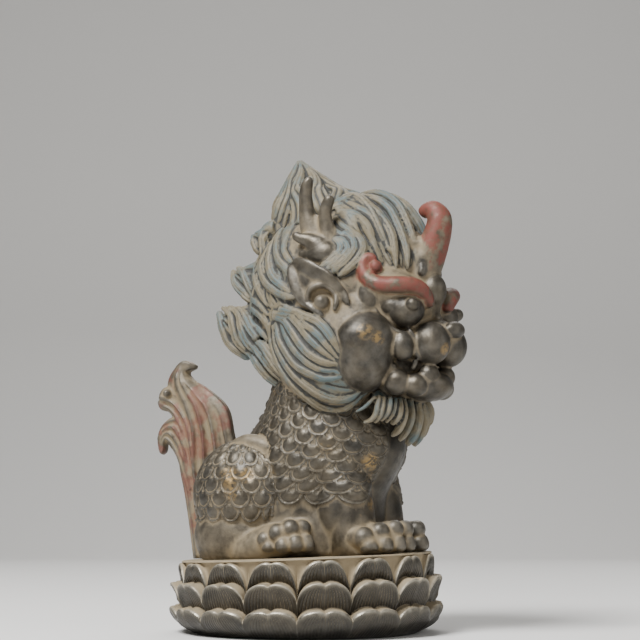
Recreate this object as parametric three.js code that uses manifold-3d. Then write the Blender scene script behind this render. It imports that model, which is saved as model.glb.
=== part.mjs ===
// A small cast bronze qilin seated on a lotus base of three rows of petals.
// Millimetres, +Z up. The beast's body faces +X and its left side is +Y.
// The origin is the middle of the base's flat underside.
import * as THREE from 'three';
import { mergeVertices } from 'three/addons/utils/BufferGeometryUtils.js';
import Module from 'manifold-3d';

const wasm = await Module();
wasm.setup();

// Driving dimensions of the base.
const BASE_HEIGHT = 14.6;
const BASE_RADIUS = 26.9;
const FOOT_RADIUS = 21.6;
const SEAT_RADIUS = 24.6;
const PETAL_COUNT = 16;
const PETAL_BULGE = 1.1;
const LIP_FLARE = 1.3;
const LEDGE = 0.5;

// The casting is not quite true: the top of the base leans a little.
const TOP_LEAN = THREE.MathUtils.degToRad(2.2);
const LEAN_HEADING = THREE.MathUtils.degToRad(25);

// Driving dimensions of the figure and its seat.
const FIGURE_HEIGHT = 81;
const SEAT_GAP = 0.1;
const SHORTEST_EDGE = 0.8;

// The figure's points are drawn for this height and scale with FIGURE_HEIGHT.
const DRAWN_HEIGHT = 81;
const share = FIGURE_HEIGHT / DRAWN_HEIGHT;

// The head is a ball turned a little to the beast's right, set on the neck.
const HEAD_TURN = THREE.MathUtils.degToRad(-10);
const HEAD_PLACE = new THREE.Vector3(8.4, 0, 50.4);

const bronze = new THREE.MeshStandardMaterial({ color: 0x56514a, roughness: 0.5, metalness: 0.75 });
const baseBronze = new THREE.MeshStandardMaterial({ color: 0x4c463e, roughness: 0.55, metalness: 0.7 });

function vec(x, y, z) {
  return new THREE.Vector3(x, y, z);
}

// A closed skin over rings of equal count, capped by a point at each end.
function skin(rings, firstPole, lastPole) {
  const count = rings[0].length;
  const positions = [];
  const index = [];
  for (const ring of rings) {
    for (const p of ring) positions.push(p.x, p.y, p.z);
  }
  const first = rings.length * count;
  positions.push(firstPole.x, firstPole.y, firstPole.z, lastPole.x, lastPole.y, lastPole.z);
  for (let j = 0; j < count; j += 1) {
    const next = (j + 1) % count;
    index.push(first, next, j);
    for (let i = 0; i + 1 < rings.length; i += 1) {
      const a = i * count + j;
      const b = i * count + next;
      index.push(a, b, b + count, a, b + count, a + count);
    }
    const top = (rings.length - 1) * count;
    index.push(first + 1, top + j, top + next);
  }
  const geometry = new THREE.BufferGeometry();
  geometry.setAttribute('position', new THREE.Float32BufferAttribute(positions, 3));
  geometry.setIndex(index);
  return geometry;
}

// Six times the enclosed volume, to tell which way a closed skin faces.
function signedVolume(geometry) {
  const p = geometry.getAttribute('position');
  const index = geometry.getIndex().array;
  const a = vec(0, 0, 0);
  const b = vec(0, 0, 0);
  const c = vec(0, 0, 0);
  let sum = 0;
  for (let i = 0; i < index.length; i += 3) {
    a.fromBufferAttribute(p, index[i]);
    b.fromBufferAttribute(p, index[i + 1]);
    c.fromBufferAttribute(p, index[i + 2]);
    sum += a.dot(b.cross(c));
  }
  return sum;
}

// A closed geometry becomes a solid, with its faces turned outwards.
function solid(geometry) {
  geometry.deleteAttribute('normal');
  geometry.deleteAttribute('uv');
  const merged = mergeVertices(geometry, 1e-5);
  const triangles = Uint32Array.from(merged.getIndex().array);
  if (signedVolume(merged) < 0) {
    for (let i = 0; i < triangles.length; i += 3) {
      const swap = triangles[i + 1];
      triangles[i + 1] = triangles[i + 2];
      triangles[i + 2] = swap;
    }
  }
  const vertices = Float32Array.from(merged.getAttribute('position').array);
  const mesh = new wasm.Mesh({ numProp: 3, vertProperties: vertices, triVerts: triangles });
  mesh.merge();
  return new wasm.Manifold(mesh);
}

function geometryOf(manifold) {
  const mesh = manifold.getMesh();
  const geometry = new THREE.BufferGeometry();
  geometry.setAttribute('position', new THREE.Float32BufferAttribute(mesh.vertProperties, 3));
  geometry.setIndex(Array.from(mesh.triVerts));
  return geometry;
}

// Joining leaves many slivers where forms cross. Edges shorter than a limit are
// drawn together into their middle, where the skin stays closed and no face
// turns over. Points that the keep test names stay where they are.
function drawTogether(geometry, shortest, keep) {
  const position = geometry.getAttribute('position');
  const points = Array.from({ length: position.count }, (_, i) => vec(0, 0, 0).fromBufferAttribute(position, i));
  const index = geometry.getIndex().array;
  const faces = [];
  for (let i = 0; i < index.length; i += 3) faces.push([index[i], index[i + 1], index[i + 2]]);
  const facesAt = points.map(() => new Set());
  faces.forEach((face, f) => face.forEach((v) => facesAt[v].add(f)));
  const neighbours = (v) => new Set([...facesAt[v]].flatMap((f) => faces[f]).filter((w) => w !== v));
  const normal = (face, moved, to) => {
    const [a, b, c] = face.map((v) => (moved.includes(v) ? to : points[v]));
    return b.clone().sub(a).cross(c.clone().sub(a));
  };
  const drawEdge = (u, v) => {
    const shared = [...neighbours(u)].filter((w) => neighbours(v).has(w));
    if (shared.length !== 2 || shared.some((w) => facesAt[w].size < 5)) return false;
    const to = points[u].clone().lerp(points[v], 0.5);
    const around = [...new Set([...facesAt[u], ...facesAt[v]])];
    const left = around.filter((f) => !(faces[f].includes(u) && faces[f].includes(v)));
    const turns = left.some((f) => {
      const before = normal(faces[f], [], to);
      const after = normal(faces[f], [u, v], to);
      return after.length() < 1e-3 || before.dot(after) < 0.5 * before.length() * after.length();
    });
    if (turns) return false;
    points[u].copy(to);
    for (const f of around) {
      if (left.includes(f)) continue;
      for (const w of faces[f]) facesAt[w].delete(f);
    }
    for (const f of facesAt[v]) {
      faces[f] = faces[f].map((w) => (w === v ? u : w));
      facesAt[u].add(f);
    }
    facesAt[v].clear();
    return true;
  };
  for (let drawn = true; drawn;) {
    drawn = false;
    const edges = [];
    facesAt.forEach((at, u) => {
      for (const v of neighbours(u)) {
        const length = points[u].distanceTo(points[v]);
        if (u < v && length < shortest && keep(points[u]) === keep(points[v])) edges.push([length, u, v]);
      }
    });
    edges.sort((a, b) => a[0] - b[0]);
    for (const [, u, v] of edges) {
      const near = points[u].distanceTo(points[v]) < shortest;
      if (facesAt[u].size && facesAt[v].size && near && drawEdge(u, v)) drawn = true;
    }
  }
  const kept = faces.filter((face, f) => facesAt[face[0]].has(f));
  const tidied = new THREE.BufferGeometry();
  tidied.setAttribute('position', new THREE.Float32BufferAttribute(points.flatMap((p) => [p.x, p.y, p.z]), 3));
  tidied.setIndex(kept.flat());
  return tidied;
}

function join(solids) {
  return solids.reduce((all, next) => all.add(next));
}

// An ellipsoid: centre and half sizes, with an optional turn about its own centre.
function ball(centre, radii, around = 12, turn = null) {
  const geometry = new THREE.SphereGeometry(1, around, Math.ceil(around / 2));
  geometry.rotateX(Math.PI / 2);
  geometry.scale(radii[0], radii[1], radii[2]);
  if (turn) geometry.applyQuaternion(new THREE.Quaternion().setFromEuler(turn));
  geometry.translate(centre[0], centre[1], centre[2]);
  return geometry;
}

// Reads a list of numbers at a share t from 0 to 1, straight between neighbours.
function along(list, t) {
  const place = t * (list.length - 1);
  const i = Math.min(Math.floor(place), list.length - 2);
  return THREE.MathUtils.lerp(list[i], list[i + 1], place - i);
}

// A lock, toe, horn or ridge: an oval section carried along a smooth curve.
// The section's depth points away from the place given as heart.
function lock(points, halfWidths, halfDepths, heart, sides = 6, steps = 6) {
  const curve = new THREE.CatmullRomCurve3(points, false, 'centripetal');
  const rings = [];
  for (let i = 1; i < steps; i += 1) {
    const t = i / steps;
    const middle = curve.getPoint(t);
    const tangent = curve.getTangent(t);
    const out = middle.clone().sub(heart);
    out.addScaledVector(tangent, -out.dot(tangent)).normalize();
    const across = tangent.clone().cross(out).normalize();
    const ring = [];
    for (let j = 0; j < sides; j += 1) {
      const angle = (j / sides) * Math.PI * 2;
      ring.push(middle.clone()
        .addScaledVector(across, Math.cos(angle) * along(halfWidths, t))
        .addScaledVector(out, Math.sin(angle) * along(halfDepths, t)));
    }
    rings.push(ring);
  }
  return skin(rings, curve.getPoint(0), curve.getPoint(1));
}

// Base

const PETAL_STEP = (Math.PI * 2) / PETAL_COUNT;
const FIRST_PETAL = THREE.MathUtils.degToRad(-57.2);
const COLUMNS_PER_PETAL = 4;

// Each row of petals: heights of its lobes, its middle notch and the valley
// between two petals, as shares of the base's height.
const PETAL_ROWS = [
  { lobe: 0.36, notch: 0.315, valley: 0.235 },
  { lobe: 0.69, notch: 0.62, valley: 0.40 },
  { lobe: 0.955, notch: 0.93, valley: 0.80 },
];

// Height of a row's lip at a place across the petal, -1 and 1 being its sides.
function lipHeight(row, across) {
  const arch = row.lobe - (row.lobe - row.valley) * Math.abs(across) ** 3;
  const notch = (row.lobe - row.notch) * Math.exp(-((across / 0.16) ** 2));
  return (arch - notch) * BASE_HEIGHT;
}

// One upright line of the base, from the foot to the seat, as [radius, height].
function baseStations(across) {
  const bulge = PETAL_BULGE * Math.abs(across) ** 4;
  const lip = BASE_RADIUS - bulge;
  const waist = lip - LIP_FLARE;
  const [low, middle, high] = PETAL_ROWS.map((row) => lipHeight(row, across));
  const between = THREE.MathUtils.lerp;
  return [
    [FOOT_RADIUS, 0],
    [between(FOOT_RADIUS, lip, 0.5), low * 0.4],
    [lip, low - LEDGE / 2],
    [waist - LEDGE, low],
    [waist + LEDGE / 2, between(low, middle, 0.55)],
    [lip, middle - LEDGE / 2],
    [waist - LEDGE, middle],
    [waist, between(middle, high, 0.6)],
    [SEAT_RADIUS + LEDGE - bulge / 2, high - LEDGE],
    [SEAT_RADIUS - LEDGE / 2, high],
    [SEAT_RADIUS, BASE_HEIGHT],
  ];
}

// Height of the leaning seat above a place on the base.
function seatHeight(x, y) {
  const downhill = x * Math.cos(LEAN_HEADING) + y * Math.sin(LEAN_HEADING);
  return BASE_HEIGHT + downhill * Math.tan(TOP_LEAN);
}

function lotusBase() {
  const columns = PETAL_COUNT * COLUMNS_PER_PETAL;
  const stationCount = baseStations(0).length;
  const rings = Array.from({ length: stationCount }, () => []);
  for (let j = 0; j < columns; j += 1) {
    const angle = FIRST_PETAL + (j / COLUMNS_PER_PETAL - 0.5) * PETAL_STEP;
    const across = (2 * (j % COLUMNS_PER_PETAL)) / COLUMNS_PER_PETAL - 1;
    baseStations(across).forEach(([radius, height], i) => {
      const x = radius * Math.cos(angle);
      const y = radius * Math.sin(angle);
      rings[i].push(vec(x, y, height * (seatHeight(x, y) / BASE_HEIGHT)));
    });
  }
  return solid(skin(rings, vec(0, 0, 0), vec(0, 0, BASE_HEIGHT)));
}

// Figure: body. Heights are above the seat, at the drawn height of the figure.

const SCALE_ROW = 2.9;
const SCALE_LIFT = 0.5;
const COLUMNS_PER_SCALE = 4;

// A body of stacked oval sections, shingled with rows of round-ended scales.
// Each row is two rings: the skin just under its edge and the edge itself,
// which hangs lowest in the middle of a scale. Rows are staggered by half a
// scale. The turns list the columns, and bare columns carry no scales.
function scaledSkin({ place, turns, bare, plainBelow, rowHeights, plainAbove, firstPole, lastPole }) {
  const plain = (height) => turns.map((turn) => place(height, turn, 0));
  const rings = plainBelow.map(plain);
  rowHeights.forEach((height, row) => {
    const under = [];
    const edge = [];
    turns.forEach((turn, column) => {
      const phase = (column + (row % 2) * (COLUMNS_PER_SCALE / 2)) % COLUMNS_PER_SCALE;
      const across = (2 * phase) / COLUMNS_PER_SCALE - 1;
      const hang = bare(turn) ? 0.5 : 0.95 * Math.sqrt(1 - across * across);
      const here = height - hang * SCALE_ROW;
      under.push(place(here, turn, 0));
      edge.push(place(here + 0.1, turn, bare(turn) ? 0 : SCALE_LIFT));
    });
    rings.push(under, edge);
  });
  rings.push(...plainAbove.map(plain));
  return skin(rings, firstPole, lastPole);
}

// Trunk and neck: oval sections given as height, middle, half length, half width.
const TRUNK = [
  [-2, -2, 17, 12],
  [7, -1.6, 17.6, 12.8],
  [11.8, -1, 17.4, 12.8],
  [14.3, 0.6, 17, 12.8],
  [19.4, 3.2, 17, 12.8],
  [23.4, 4.6, 15.8, 12.4],
  [28, 5.6, 13.6, 11.6],
  [33.4, 6, 12.2, 10.8],
  [40, 6.5, 11.5, 10],
];
const TRUNK_SCALES = 16;

// A place on the trunk's skin at a height and a turn from the front.
function onTrunk(height, turn, lift) {
  let i = 0;
  while (i < TRUNK.length - 2 && TRUNK[i + 1][0] < height) i += 1;
  const t = (height - TRUNK[i][0]) / (TRUNK[i + 1][0] - TRUNK[i][0]);
  const [, middle, length, width] = TRUNK[i].map((v, k) => THREE.MathUtils.lerp(v, TRUNK[i + 1][k], t));
  return vec(middle + (length + lift) * Math.cos(turn), (width + lift) * Math.sin(turn), height);
}

function trunk() {
  const columns = TRUNK_SCALES * COLUMNS_PER_SCALE;
  return scaledSkin({
    place: onTrunk,
    turns: Array.from({ length: columns }, (_, j) => (j / columns) * Math.PI * 2),
    bare: () => false,
    plainBelow: [-2],
    rowHeights: Array.from({ length: 7 }, (_, row) => 11.4 + row * SCALE_ROW),
    plainAbove: [34],
    firstPole: vec(TRUNK[0][1], 0, TRUNK[0][0]),
    lastPole: vec(TRUNK.at(-1)[1], 0, 40),
  });
}

// Haunch: a rounded mass at each hip, scaled on its outer face.
const HAUNCH = { place: [-10, 8.5, 11.9], radii: [12, 7, 10.5] };
const HAUNCH_SCALES = 7;

// A place on the haunch at a height and a turn from straight outwards.
function onHaunch(side) {
  const { place, radii } = HAUNCH;
  return (height, turn, lift) => {
    const tall = (height - place[2]) / radii[2];
    const round = Math.sqrt(Math.max(0, 1 - tall * tall));
    const x = place[0] + (radii[0] * round + lift) * Math.sin(turn);
    const y = place[1] + (radii[1] * round + lift) * Math.cos(turn);
    return vec(x, side * y, height);
  };
}

function haunch(side) {
  const outer = THREE.MathUtils.degToRad(104);
  const columns = HAUNCH_SCALES * COLUMNS_PER_SCALE;
  const turns = Array.from({ length: columns + 1 }, (_, j) => THREE.MathUtils.lerp(-outer, outer, j / columns));
  turns.push(THREE.MathUtils.degToRad(150), THREE.MathUtils.degToRad(210));
  const { place, radii } = HAUNCH;
  return scaledSkin({
    place: onHaunch(side),
    turns,
    bare: (turn) => Math.abs(turn) > outer * 0.98,
    plainBelow: [place[2] - 0.75 * radii[2]],
    rowHeights: Array.from({ length: 5 }, (_, row) => 9.6 + row * SCALE_ROW * 0.9),
    plainAbove: [21.4],
    firstPole: vec(place[0], side * place[1], place[2] - radii[2]),
    lastPole: vec(place[0], side * place[1], place[2] + radii[2]),
  });
}

// A toe: a knuckle that bends down into a claw on the seat.
function toe(heel, knuckle, tip, radius) {
  const sizes = [0.8, 1, 1, 0.9, 0.5].map((r) => r * radius);
  return lock([heel, knuckle, tip], sizes, sizes, vec(heel.x, heel.y, -9), 5, 4);
}

// Toes of a right foot, [forward, outward, up] at the knuckle.
const FORE_TOES = [[17.2, 10.5, 3.9], [20, 8.1, 4.7], [21.4, 5.1, 5], [21.6, 2, 4.8]];
const HIND_TOES = [[-2.2, 15.4, 3], [0.6, 15.2, 4.2], [3.2, 14.2, 5], [5.2, 12.4, 5.6]];

function foreleg(side) {
  const shank = [vec(9.5, 6.8 * side, 20), vec(12.4, 7.2 * side, 9), vec(13.2, 6.8 * side, -2)];
  const parts = [
    ball([11, 6.9 * side, 9], [5.8, 5.3, 7.5], 9),
    lock(shank, [4.9, 4.7, 4.7], [4.9, 4.7, 4.7], vec(0, 7 * side, 8), 8, 3),
    ball([16.2, 6.3 * side, 2.9], [5.9, 5.2, 3.7], 8),
  ];
  for (const [x, y, z] of FORE_TOES) {
    const heel = vec(x - 4, (y * 0.75 + 1.6) * side, z * 0.7);
    parts.push(toe(heel, vec(x, y * side, z), vec(x + 1, (y + 0.2) * side, -0.4), 1.75));
  }
  return parts;
}

function hindFoot(side) {
  const parts = [
    ball([-2, 12 * side, 2.4], [8.4, 4.4, 4.2], 8, new THREE.Euler(0, -0.2, 0)),
    ball([-11.4, 8.6 * side, 4], [10.4, 6.6, 8], 12),
  ];
  for (const [x, y, z] of HIND_TOES) {
    const heel = vec(x - 2.5, (y - 3) * side, z * 0.85);
    parts.push(toe(heel, vec(x, y * side, z), vec(x + 0.8, (y + 0.8) * side, -0.3), 1.6));
  }
  return parts;
}

// A smooth rib over the upper front edge of the haunch.
function haunchRib(side) {
  const { place, radii } = HAUNCH;
  const points = [];
  for (let i = 0; i <= 4; i += 1) {
    const turn = THREE.MathUtils.degToRad(112 - i * 30);
    points.push(vec(place[0] + 0.92 * radii[0] * Math.cos(turn), (place[1] + 2.6) * side,
      place[2] + 0.92 * radii[2] * Math.sin(turn)));
  }
  const sizes = [1, 1.5, 1.6, 1.5, 0.8];
  return lock(points, sizes, sizes, vec(place[0], place[1] * side, place[2]), 5, 6);
}

// Small knobs along the spine, from the nape down to the tail.
function spineKnobs() {
  return Array.from({ length: 5 }, (_, i) => {
    const height = 30 - i * 3.1;
    return ball([onTrunk(height, Math.PI, 0).x, 0, height], [1.6, 1.4, 1.4], 5);
  });
}

// A flame: a thick leaf between two edge lines, with ridges running along both
// faces and meeting in its tip. The edges are lists of points taken in pairs.
function flame(edges, ridges, halfThickness, normal, steps) {
  const [first, last] = edges.map((points) => new THREE.CatmullRomCurve3(points, false, 'centripetal'));
  const columns = 2 * ridges;
  const rings = [];
  for (let i = 0; i < steps; i += 1) {
    const t = i / steps;
    const a = first.getPoint(t);
    const b = last.getPoint(t);
    const taper = Math.min(1, a.distanceTo(b) / (2 * halfThickness));
    const faces = [1, -1].map((face) => {
      const row = [];
      for (let k = 0; k <= columns; k += 1) {
        const across = k / columns;
        const ridge = k % 2 ? 1 : 0.72;
        const round = k === 0 || k === columns ? 0.5 : ridge;
        row.push(a.clone().lerp(b, across).addScaledVector(normal, face * round * halfThickness * taper));
      }
      return row;
    });
    rings.push([...faces[0], ...faces[1].reverse()]);
  }
  const start = first.getPoint(0).lerp(last.getPoint(0), 0.5);
  const tip = first.getPoint(1).lerp(last.getPoint(1), 0.5);
  return skin(rings, start, tip);
}

// Tail: three flames in the beast's middle plane, as pairs of edges [x, height],
// each with half its thickness.
const TAIL_FLAMES = [
  { ridges: 3, thickness: 2.6,
    left: [[-26.8, -1.5], [-27.5, 7], [-28.2, 14], [-29, 19], [-28.6, 25], [-30.4, 31], [-31.6, 35.6],
      [-30.3, 38.2], [-28.4, 39.8], [-25.2, 38.9]],
    right: [[-17, -1.5], [-17, 7], [-16, 14], [-15.6, 19], [-16.9, 24.6], [-18.3, 28.8], [-22.6, 32.4],
      [-26.6, 35.4], [-27.8, 37.5], [-25.2, 38.4]] },
  { ridges: 2, thickness: 2.2,
    left: [[-27.8, 13], [-28.8, 20], [-29.2, 25.6], [-31.4, 29.2], [-33.4, 30], [-34.5, 31.8]],
    right: [[-22, 14], [-22.6, 22], [-24.6, 28], [-28.5, 32.6], [-32.2, 34.4], [-34.3, 32.6]] },
  { ridges: 2, thickness: 2.4,
    left: [[-27.6, 9], [-28.6, 15.5], [-30, 20], [-31.2, 22.4], [-32, 23.4], [-32.5, 22.8], [-32.6, 21.8], [-33, 20.8]],
    right: [[-24.5, 9], [-25, 16], [-26.5, 23], [-29.3, 28.2], [-32.8, 27.2], [-34.5, 24.6], [-34.3, 21.8],
      [-33.4, 20.4]] },
];

function tail() {
  const acrossPlane = vec(0, 1, 0);
  const flames = TAIL_FLAMES.map(({ ridges, thickness, left, right }) => {
    const edges = [left, right].map((line) => line.map(([x, z]) => vec(x, 0, z)));
    return flame(edges, ridges, thickness, acrossPlane, left.length - 2);
  });
  return [...flames, ball([-31.7, 0, 33.3], [1.1, 2.6, 1.1], 5)];
}

function bodySolids() {
  const parts = [trunk(), ...spineKnobs(), ...tail()];
  for (const side of [-1, 1]) {
    parts.push(haunch(side), haunchRib(side), ...foreleg(side), ...hindFoot(side));
  }
  return parts.map(solid);
}

// Figure: head, in a frame of its own with +X along the snout.

// The masses under the hair and the face, right and left alike.
const HEAD_MASSES = [
  { place: [-1, 0, 0], radii: [18.5, 15.5, 19.5], around: 16 },
  { place: [3.6, 0, 6], radii: [12, 12, 14.3], around: 14 },
  { place: [11, 0, -2], radii: [10, 11, 9], around: 12 },
  { place: [2.5, -8.5, -9.5], radii: [13, 7.5, 13.2], around: 10 },
  { place: [2.5, 8.5, -9.5], radii: [13, 7.5, 13.2], around: 10 },
];
const HEAD_HEART = vec(0, 0, 0);

// A point carried straight out from the head's heart onto its masses, then
// lifted off them along their own slope.
function onHead(point, lift) {
  const ray = point.clone().normalize();
  let reach = 0;
  let slope = ray;
  for (const { place, radii } of HEAD_MASSES) {
    const d = vec(ray.x / radii[0], ray.y / radii[1], ray.z / radii[2]);
    const c = vec(place[0] / radii[0], place[1] / radii[1], place[2] / radii[2]);
    const a = d.dot(d);
    const b = d.dot(c);
    const inside = b * b - a * (c.dot(c) - 1);
    const far = inside > 0 ? (b + Math.sqrt(inside)) / a : 0;
    if (far > reach) {
      reach = far;
      const unit = d.multiplyScalar(far).sub(c);
      slope = vec(unit.x / radii[0], unit.y / radii[1], unit.z / radii[2]).normalize();
    }
  }
  return ray.multiplyScalar(reach).addScaledVector(slope, lift);
}

// Locks combed side by side between two guide lines that lie on the head. The
// sheet is ridged along each lock, and the locks reach further than the grooves.
function combedLocks(first, last, count, relief, side, steps = 6) {
  const guides = [first, last].map((guide) => new THREE.CatmullRomCurve3(
    guide.map(([x, y, z]) => vec(x, y * side, z)), false, 'centripetal'));
  const columns = 2 * count;
  const rings = [];
  for (let i = 0; i <= steps; i += 1) {
    const rise = Math.sin(Math.PI * (0.12 + 0.8 * (i / steps)));
    const top = [];
    const under = [];
    for (let k = 0; k <= columns; k += 1) {
      const onLock = k % 2 === 1;
      const t = i < steps || onLock ? i / steps : (i - 0.7) / steps;
      const place = guides[0].getPoint(t).lerp(guides[1].getPoint(t), k / columns);
      top.push(onHead(place, relief * rise * (onLock ? 1 : 0.15)));
      if (k % columns === 0) under.push(onHead(place, -1.6));
    }
    rings.push([...top, ...under.reverse()]);
  }
  const middle = (t) => onHead(guides[0].getPoint(t).lerp(guides[1].getPoint(t), 0.5), -0.8);
  return skin(rings, middle(0), middle(1));
}

// Guide lines of the hair on one side, [forward, outward, up].
const SIDE_BAND_BACK = [[-5.9, 8, 20], [-9.8, 11.3, 13.6], [-14.4, 10.2, 7.8], [-15.9, 10.4, 2.2],
  [-14.1, 10.8, -2], [-9.2, 13.3, -5.1]];
const SIDE_BAND_EAR = [[-5.4, 8, 19.8], [-5.1, 11.7, 12], [-3.7, 14.6, 6], [-1.6, 15.4, 2.4],
  [-2, 15.6, 0.4], [-1, 15.4, -2.5]];
const RUFF_OUTER = [[-8.4, 14, -3.6], [-7, 14, -10.6], [-2.7, 13.6, -17.6], [3.4, 13, -22],
  [9.5, 11, -23], [14.6, 9, -21.6]];
const RUFF_INNER = [[-5.4, 14.7, -1.8], [-1.8, 15.5, -3.1], [2.6, 16.1, -5.1], [5.7, 15.8, -8.4],
  [7.7, 14.7, -12.4], [8.8, 13.2, -16.6]];
const FORELOCK_INNER = [[1.2, 5.9, 18.5], [3.4, 8.6, 16.4], [6.9, 9.8, 13.1], [9.7, 10.7, 9.6], [10.9, 10.7, 6.6]];
const FORELOCK_OUTER = [[3.4, 1.6, 21.2], [7.6, 1.4, 19.8], [11.5, 1.2, 17], [14.6, 1.4, 13], [16.6, 2, 8.4]];
const TEMPLE_CURL_UPPER = [[3.4, 14, 5.6], [6.6, 13, 5.6], [9, 11.6, 7.4], [9.2, 10.6, 10.4]];
const TEMPLE_CURL_LOWER = [[3, 14.4, 3.4], [7.2, 13.4, 2.8], [11, 11, 5.2], [11.2, 10, 9.6]];
const BACK_SIDE = [[-8, 6.5, 19], [-14, 7.5, 11], [-17.5, 7.5, 2], [-17, 7.5, -7], [-14, 8, -14]];
const BACK_MIDDLE = [[-8, 1.6, 20], [-15, 1.6, 12], [-18.5, 1.6, 2], [-18, 1.6, -8], [-15.5, 1.6, -15]];

// Tufts at the back of the head: flames with their root along the head and
// their tip turned up and back, [forward, outward, up].
const TUFTS = [
  { upper: [[-10, 9.6, 15.6], [-13, 10, 15.2], [-16, 10.2, 15.2]],
    lower: [[-13.5, 9.6, 9.6], [-15, 10.2, 12], [-16.2, 10.2, 14.6]], thickness: 1.5 },
  { upper: [[-13, 9.4, 9.6], [-16.5, 10, 9.2], [-20, 10.4, 9.6]],
    lower: [[-15.4, 9.2, 2.6], [-19, 10, 5], [-20.6, 10.4, 8.8]], thickness: 1.8 },
  { upper: [[-14, 9, 1], [-18.6, 9.8, 1.2], [-22.8, 10.4, 0.6]],
    lower: [[-13.4, 9, -11.2], [-20.4, 10, -6.6], [-23, 10.4, -0.4]], thickness: 2.4 },
  { upper: [[-11, 9, -9.6], [-14.4, 9.4, -8.6], [-17.2, 9.4, -9]],
    lower: [[-6, 9.4, -18.4], [-12, 9.4, -13.6], [-17, 9.4, -9.8]], thickness: 2 },
];

function tufts(side) {
  const normal = vec(-0.45, 0.89 * side, 0).normalize();
  return TUFTS.map(({ upper, lower, thickness }) => {
    const edges = [upper, lower].map((line) => line.map(([x, y, z]) => vec(x, y * side, z)));
    return flame(edges, 2, thickness, normal, 3);
  });
}

function hair(side) {
  return [
    combedLocks(SIDE_BAND_BACK, SIDE_BAND_EAR, 5, 1.7, side, 5),
    combedLocks(RUFF_OUTER, RUFF_INNER, 6, 1.9, side, 6),
    combedLocks(FORELOCK_INNER, FORELOCK_OUTER, 5, 1.9, side, 5),
    combedLocks(BACK_SIDE, BACK_MIDDLE, 3, 2, side, 4),
    combedLocks(TEMPLE_CURL_UPPER, TEMPLE_CURL_LOWER, 2, 1.4, side, 3),
    ...tufts(side),
  ];
}

// The crest: a fluted cone of fat strands that lean back into one point.
// Each ring is height, middle, half length and half width.
const CREST_RINGS = [[14, -4, 12.5, 10.5], [19.5, -6, 10.8, 8.8], [22.6, -8, 7.4, 6], [26, -9.6, 4.2, 3.4]];
const CREST_TIP = [-11.2, 30.4];
const CREST_FLUTES = 10;

function crest() {
  const rings = CREST_RINGS.map(([height, middle, length, width]) => {
    const ring = [];
    for (let k = 0; k < 2 * CREST_FLUTES; k += 1) {
      const turn = (k / (2 * CREST_FLUTES)) * Math.PI * 2;
      const flute = k % 2 ? 1 : 0.88;
      ring.push(vec(middle + length * flute * Math.cos(turn), width * flute * Math.sin(turn), height));
    }
    return ring;
  });
  return skin(rings, vec(-4, 0, 12), vec(CREST_TIP[0], 0, CREST_TIP[1]));
}

function horn() {
  const path = [[16, 0, -1], [20.2, 0, 4.4], [21.6, 0, 8.6], [22.1, 0, 11.8], [21.2, 0, 14.6], [19.4, 0, 15.6],
    [17.4, 0, 15.4]];
  const sizes = [2.6, 3, 2.7, 2.7, 2.3, 1.7, 0.7];
  return lock(path.map((p) => vec(...p)), sizes, sizes, vec(10, 0, 10), 8, 9);
}

function antler(side) {
  const prongs = [
    { path: [[1.6, 10, 6], [0.6, 12.4, 12], [-0.6, 13.2, 18], [-0.6, 13.6, 22.4]], width: [3.2, 2.9, 2.1, 1.2] },
    { path: [[1.6, 11, 8], [3.8, 12.4, 13], [5.6, 12, 18]], width: [2.6, 2, 1] },
    { path: [[1.8, 12, 7], [0.2, 15, 8.6], [-0.8, 16.4, 10.8]], width: [3, 2.2, 1] },
  ];
  return prongs.map(({ path, width }) => lock(path.map(([x, y, z]) => vec(x, y * side, z)),
    width, width, vec(0, 0, 8), 7, 5));
}

// The ear: a leaf with a pointed corner, a thick rolled rim and a spiral inside.
function ear(side) {
  const rim = [[-0.8, 15.4, 6], [3.4, 15.4, 5.4], [7.4, 14.4, 3.4], [9.2, 13.8, -0.4], [8.4, 14.4, -3.8],
    [5.4, 15.4, -5], [2.6, 15.6, -3.4]];
  const back = [[-0.6, 15.2, 5.6], [0.4, 15.6, 2.2], [1.4, 15.6, -1.8]];
  const inner = [[2.8, 15.8, -1.6], [3.4, 16.2, 0.6], [5.8, 16, 1.2], [7, 15.2, -0.6]];
  const laid = (line, lift) => line.map(([x, y, z]) => onHead(vec(x, y * side, z), lift));
  return [
    lock(laid(rim, 0.6), [0.5, 1.5, 1.6, 1.4, 1.2, 0.6], [0.6, 1.7, 1.8, 1.6, 1.3, 0.6], HEAD_HEART, 6, 9),
    lock(laid(back, 0.3), [0.6, 0.9, 0.5], [0.5, 1, 0.5], HEAD_HEART, 5, 4),
    lock(laid(inner, 0.4), [0.5, 0.8, 0.8, 0.4], [0.5, 1, 1, 0.4], HEAD_HEART, 5, 5),
    ball([5.6, 15.1 * side, -2.2], [1.7, 1.6, 1.7], 8),
  ];
}

// The brow: a thick band that ends in a small spiral at the temple.
function brow(side) {
  const path = [[22.4, 1.6, -3], [21.4, 3.6, -0.4], [18.8, 7.4, 0.6], [15, 9.8, 0.5], [12, 11.2, 2.6],
    [12, 10.8, 5.4], [13.6, 9.8, 6.2]];
  return [
    lock(path.map(([x, y, z]) => vec(x, y * side, z)), [0.9, 1.7, 1.9, 1.8, 1.6, 1.3, 0.7],
      [1, 1.8, 2, 1.9, 1.6, 1.3, 0.8], vec(8, 0, 0), 7, 12),
    ball([13.6, 10.4 * side, 4.4], [1.3, 1.3, 1.3], 8),
  ];
}

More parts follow.
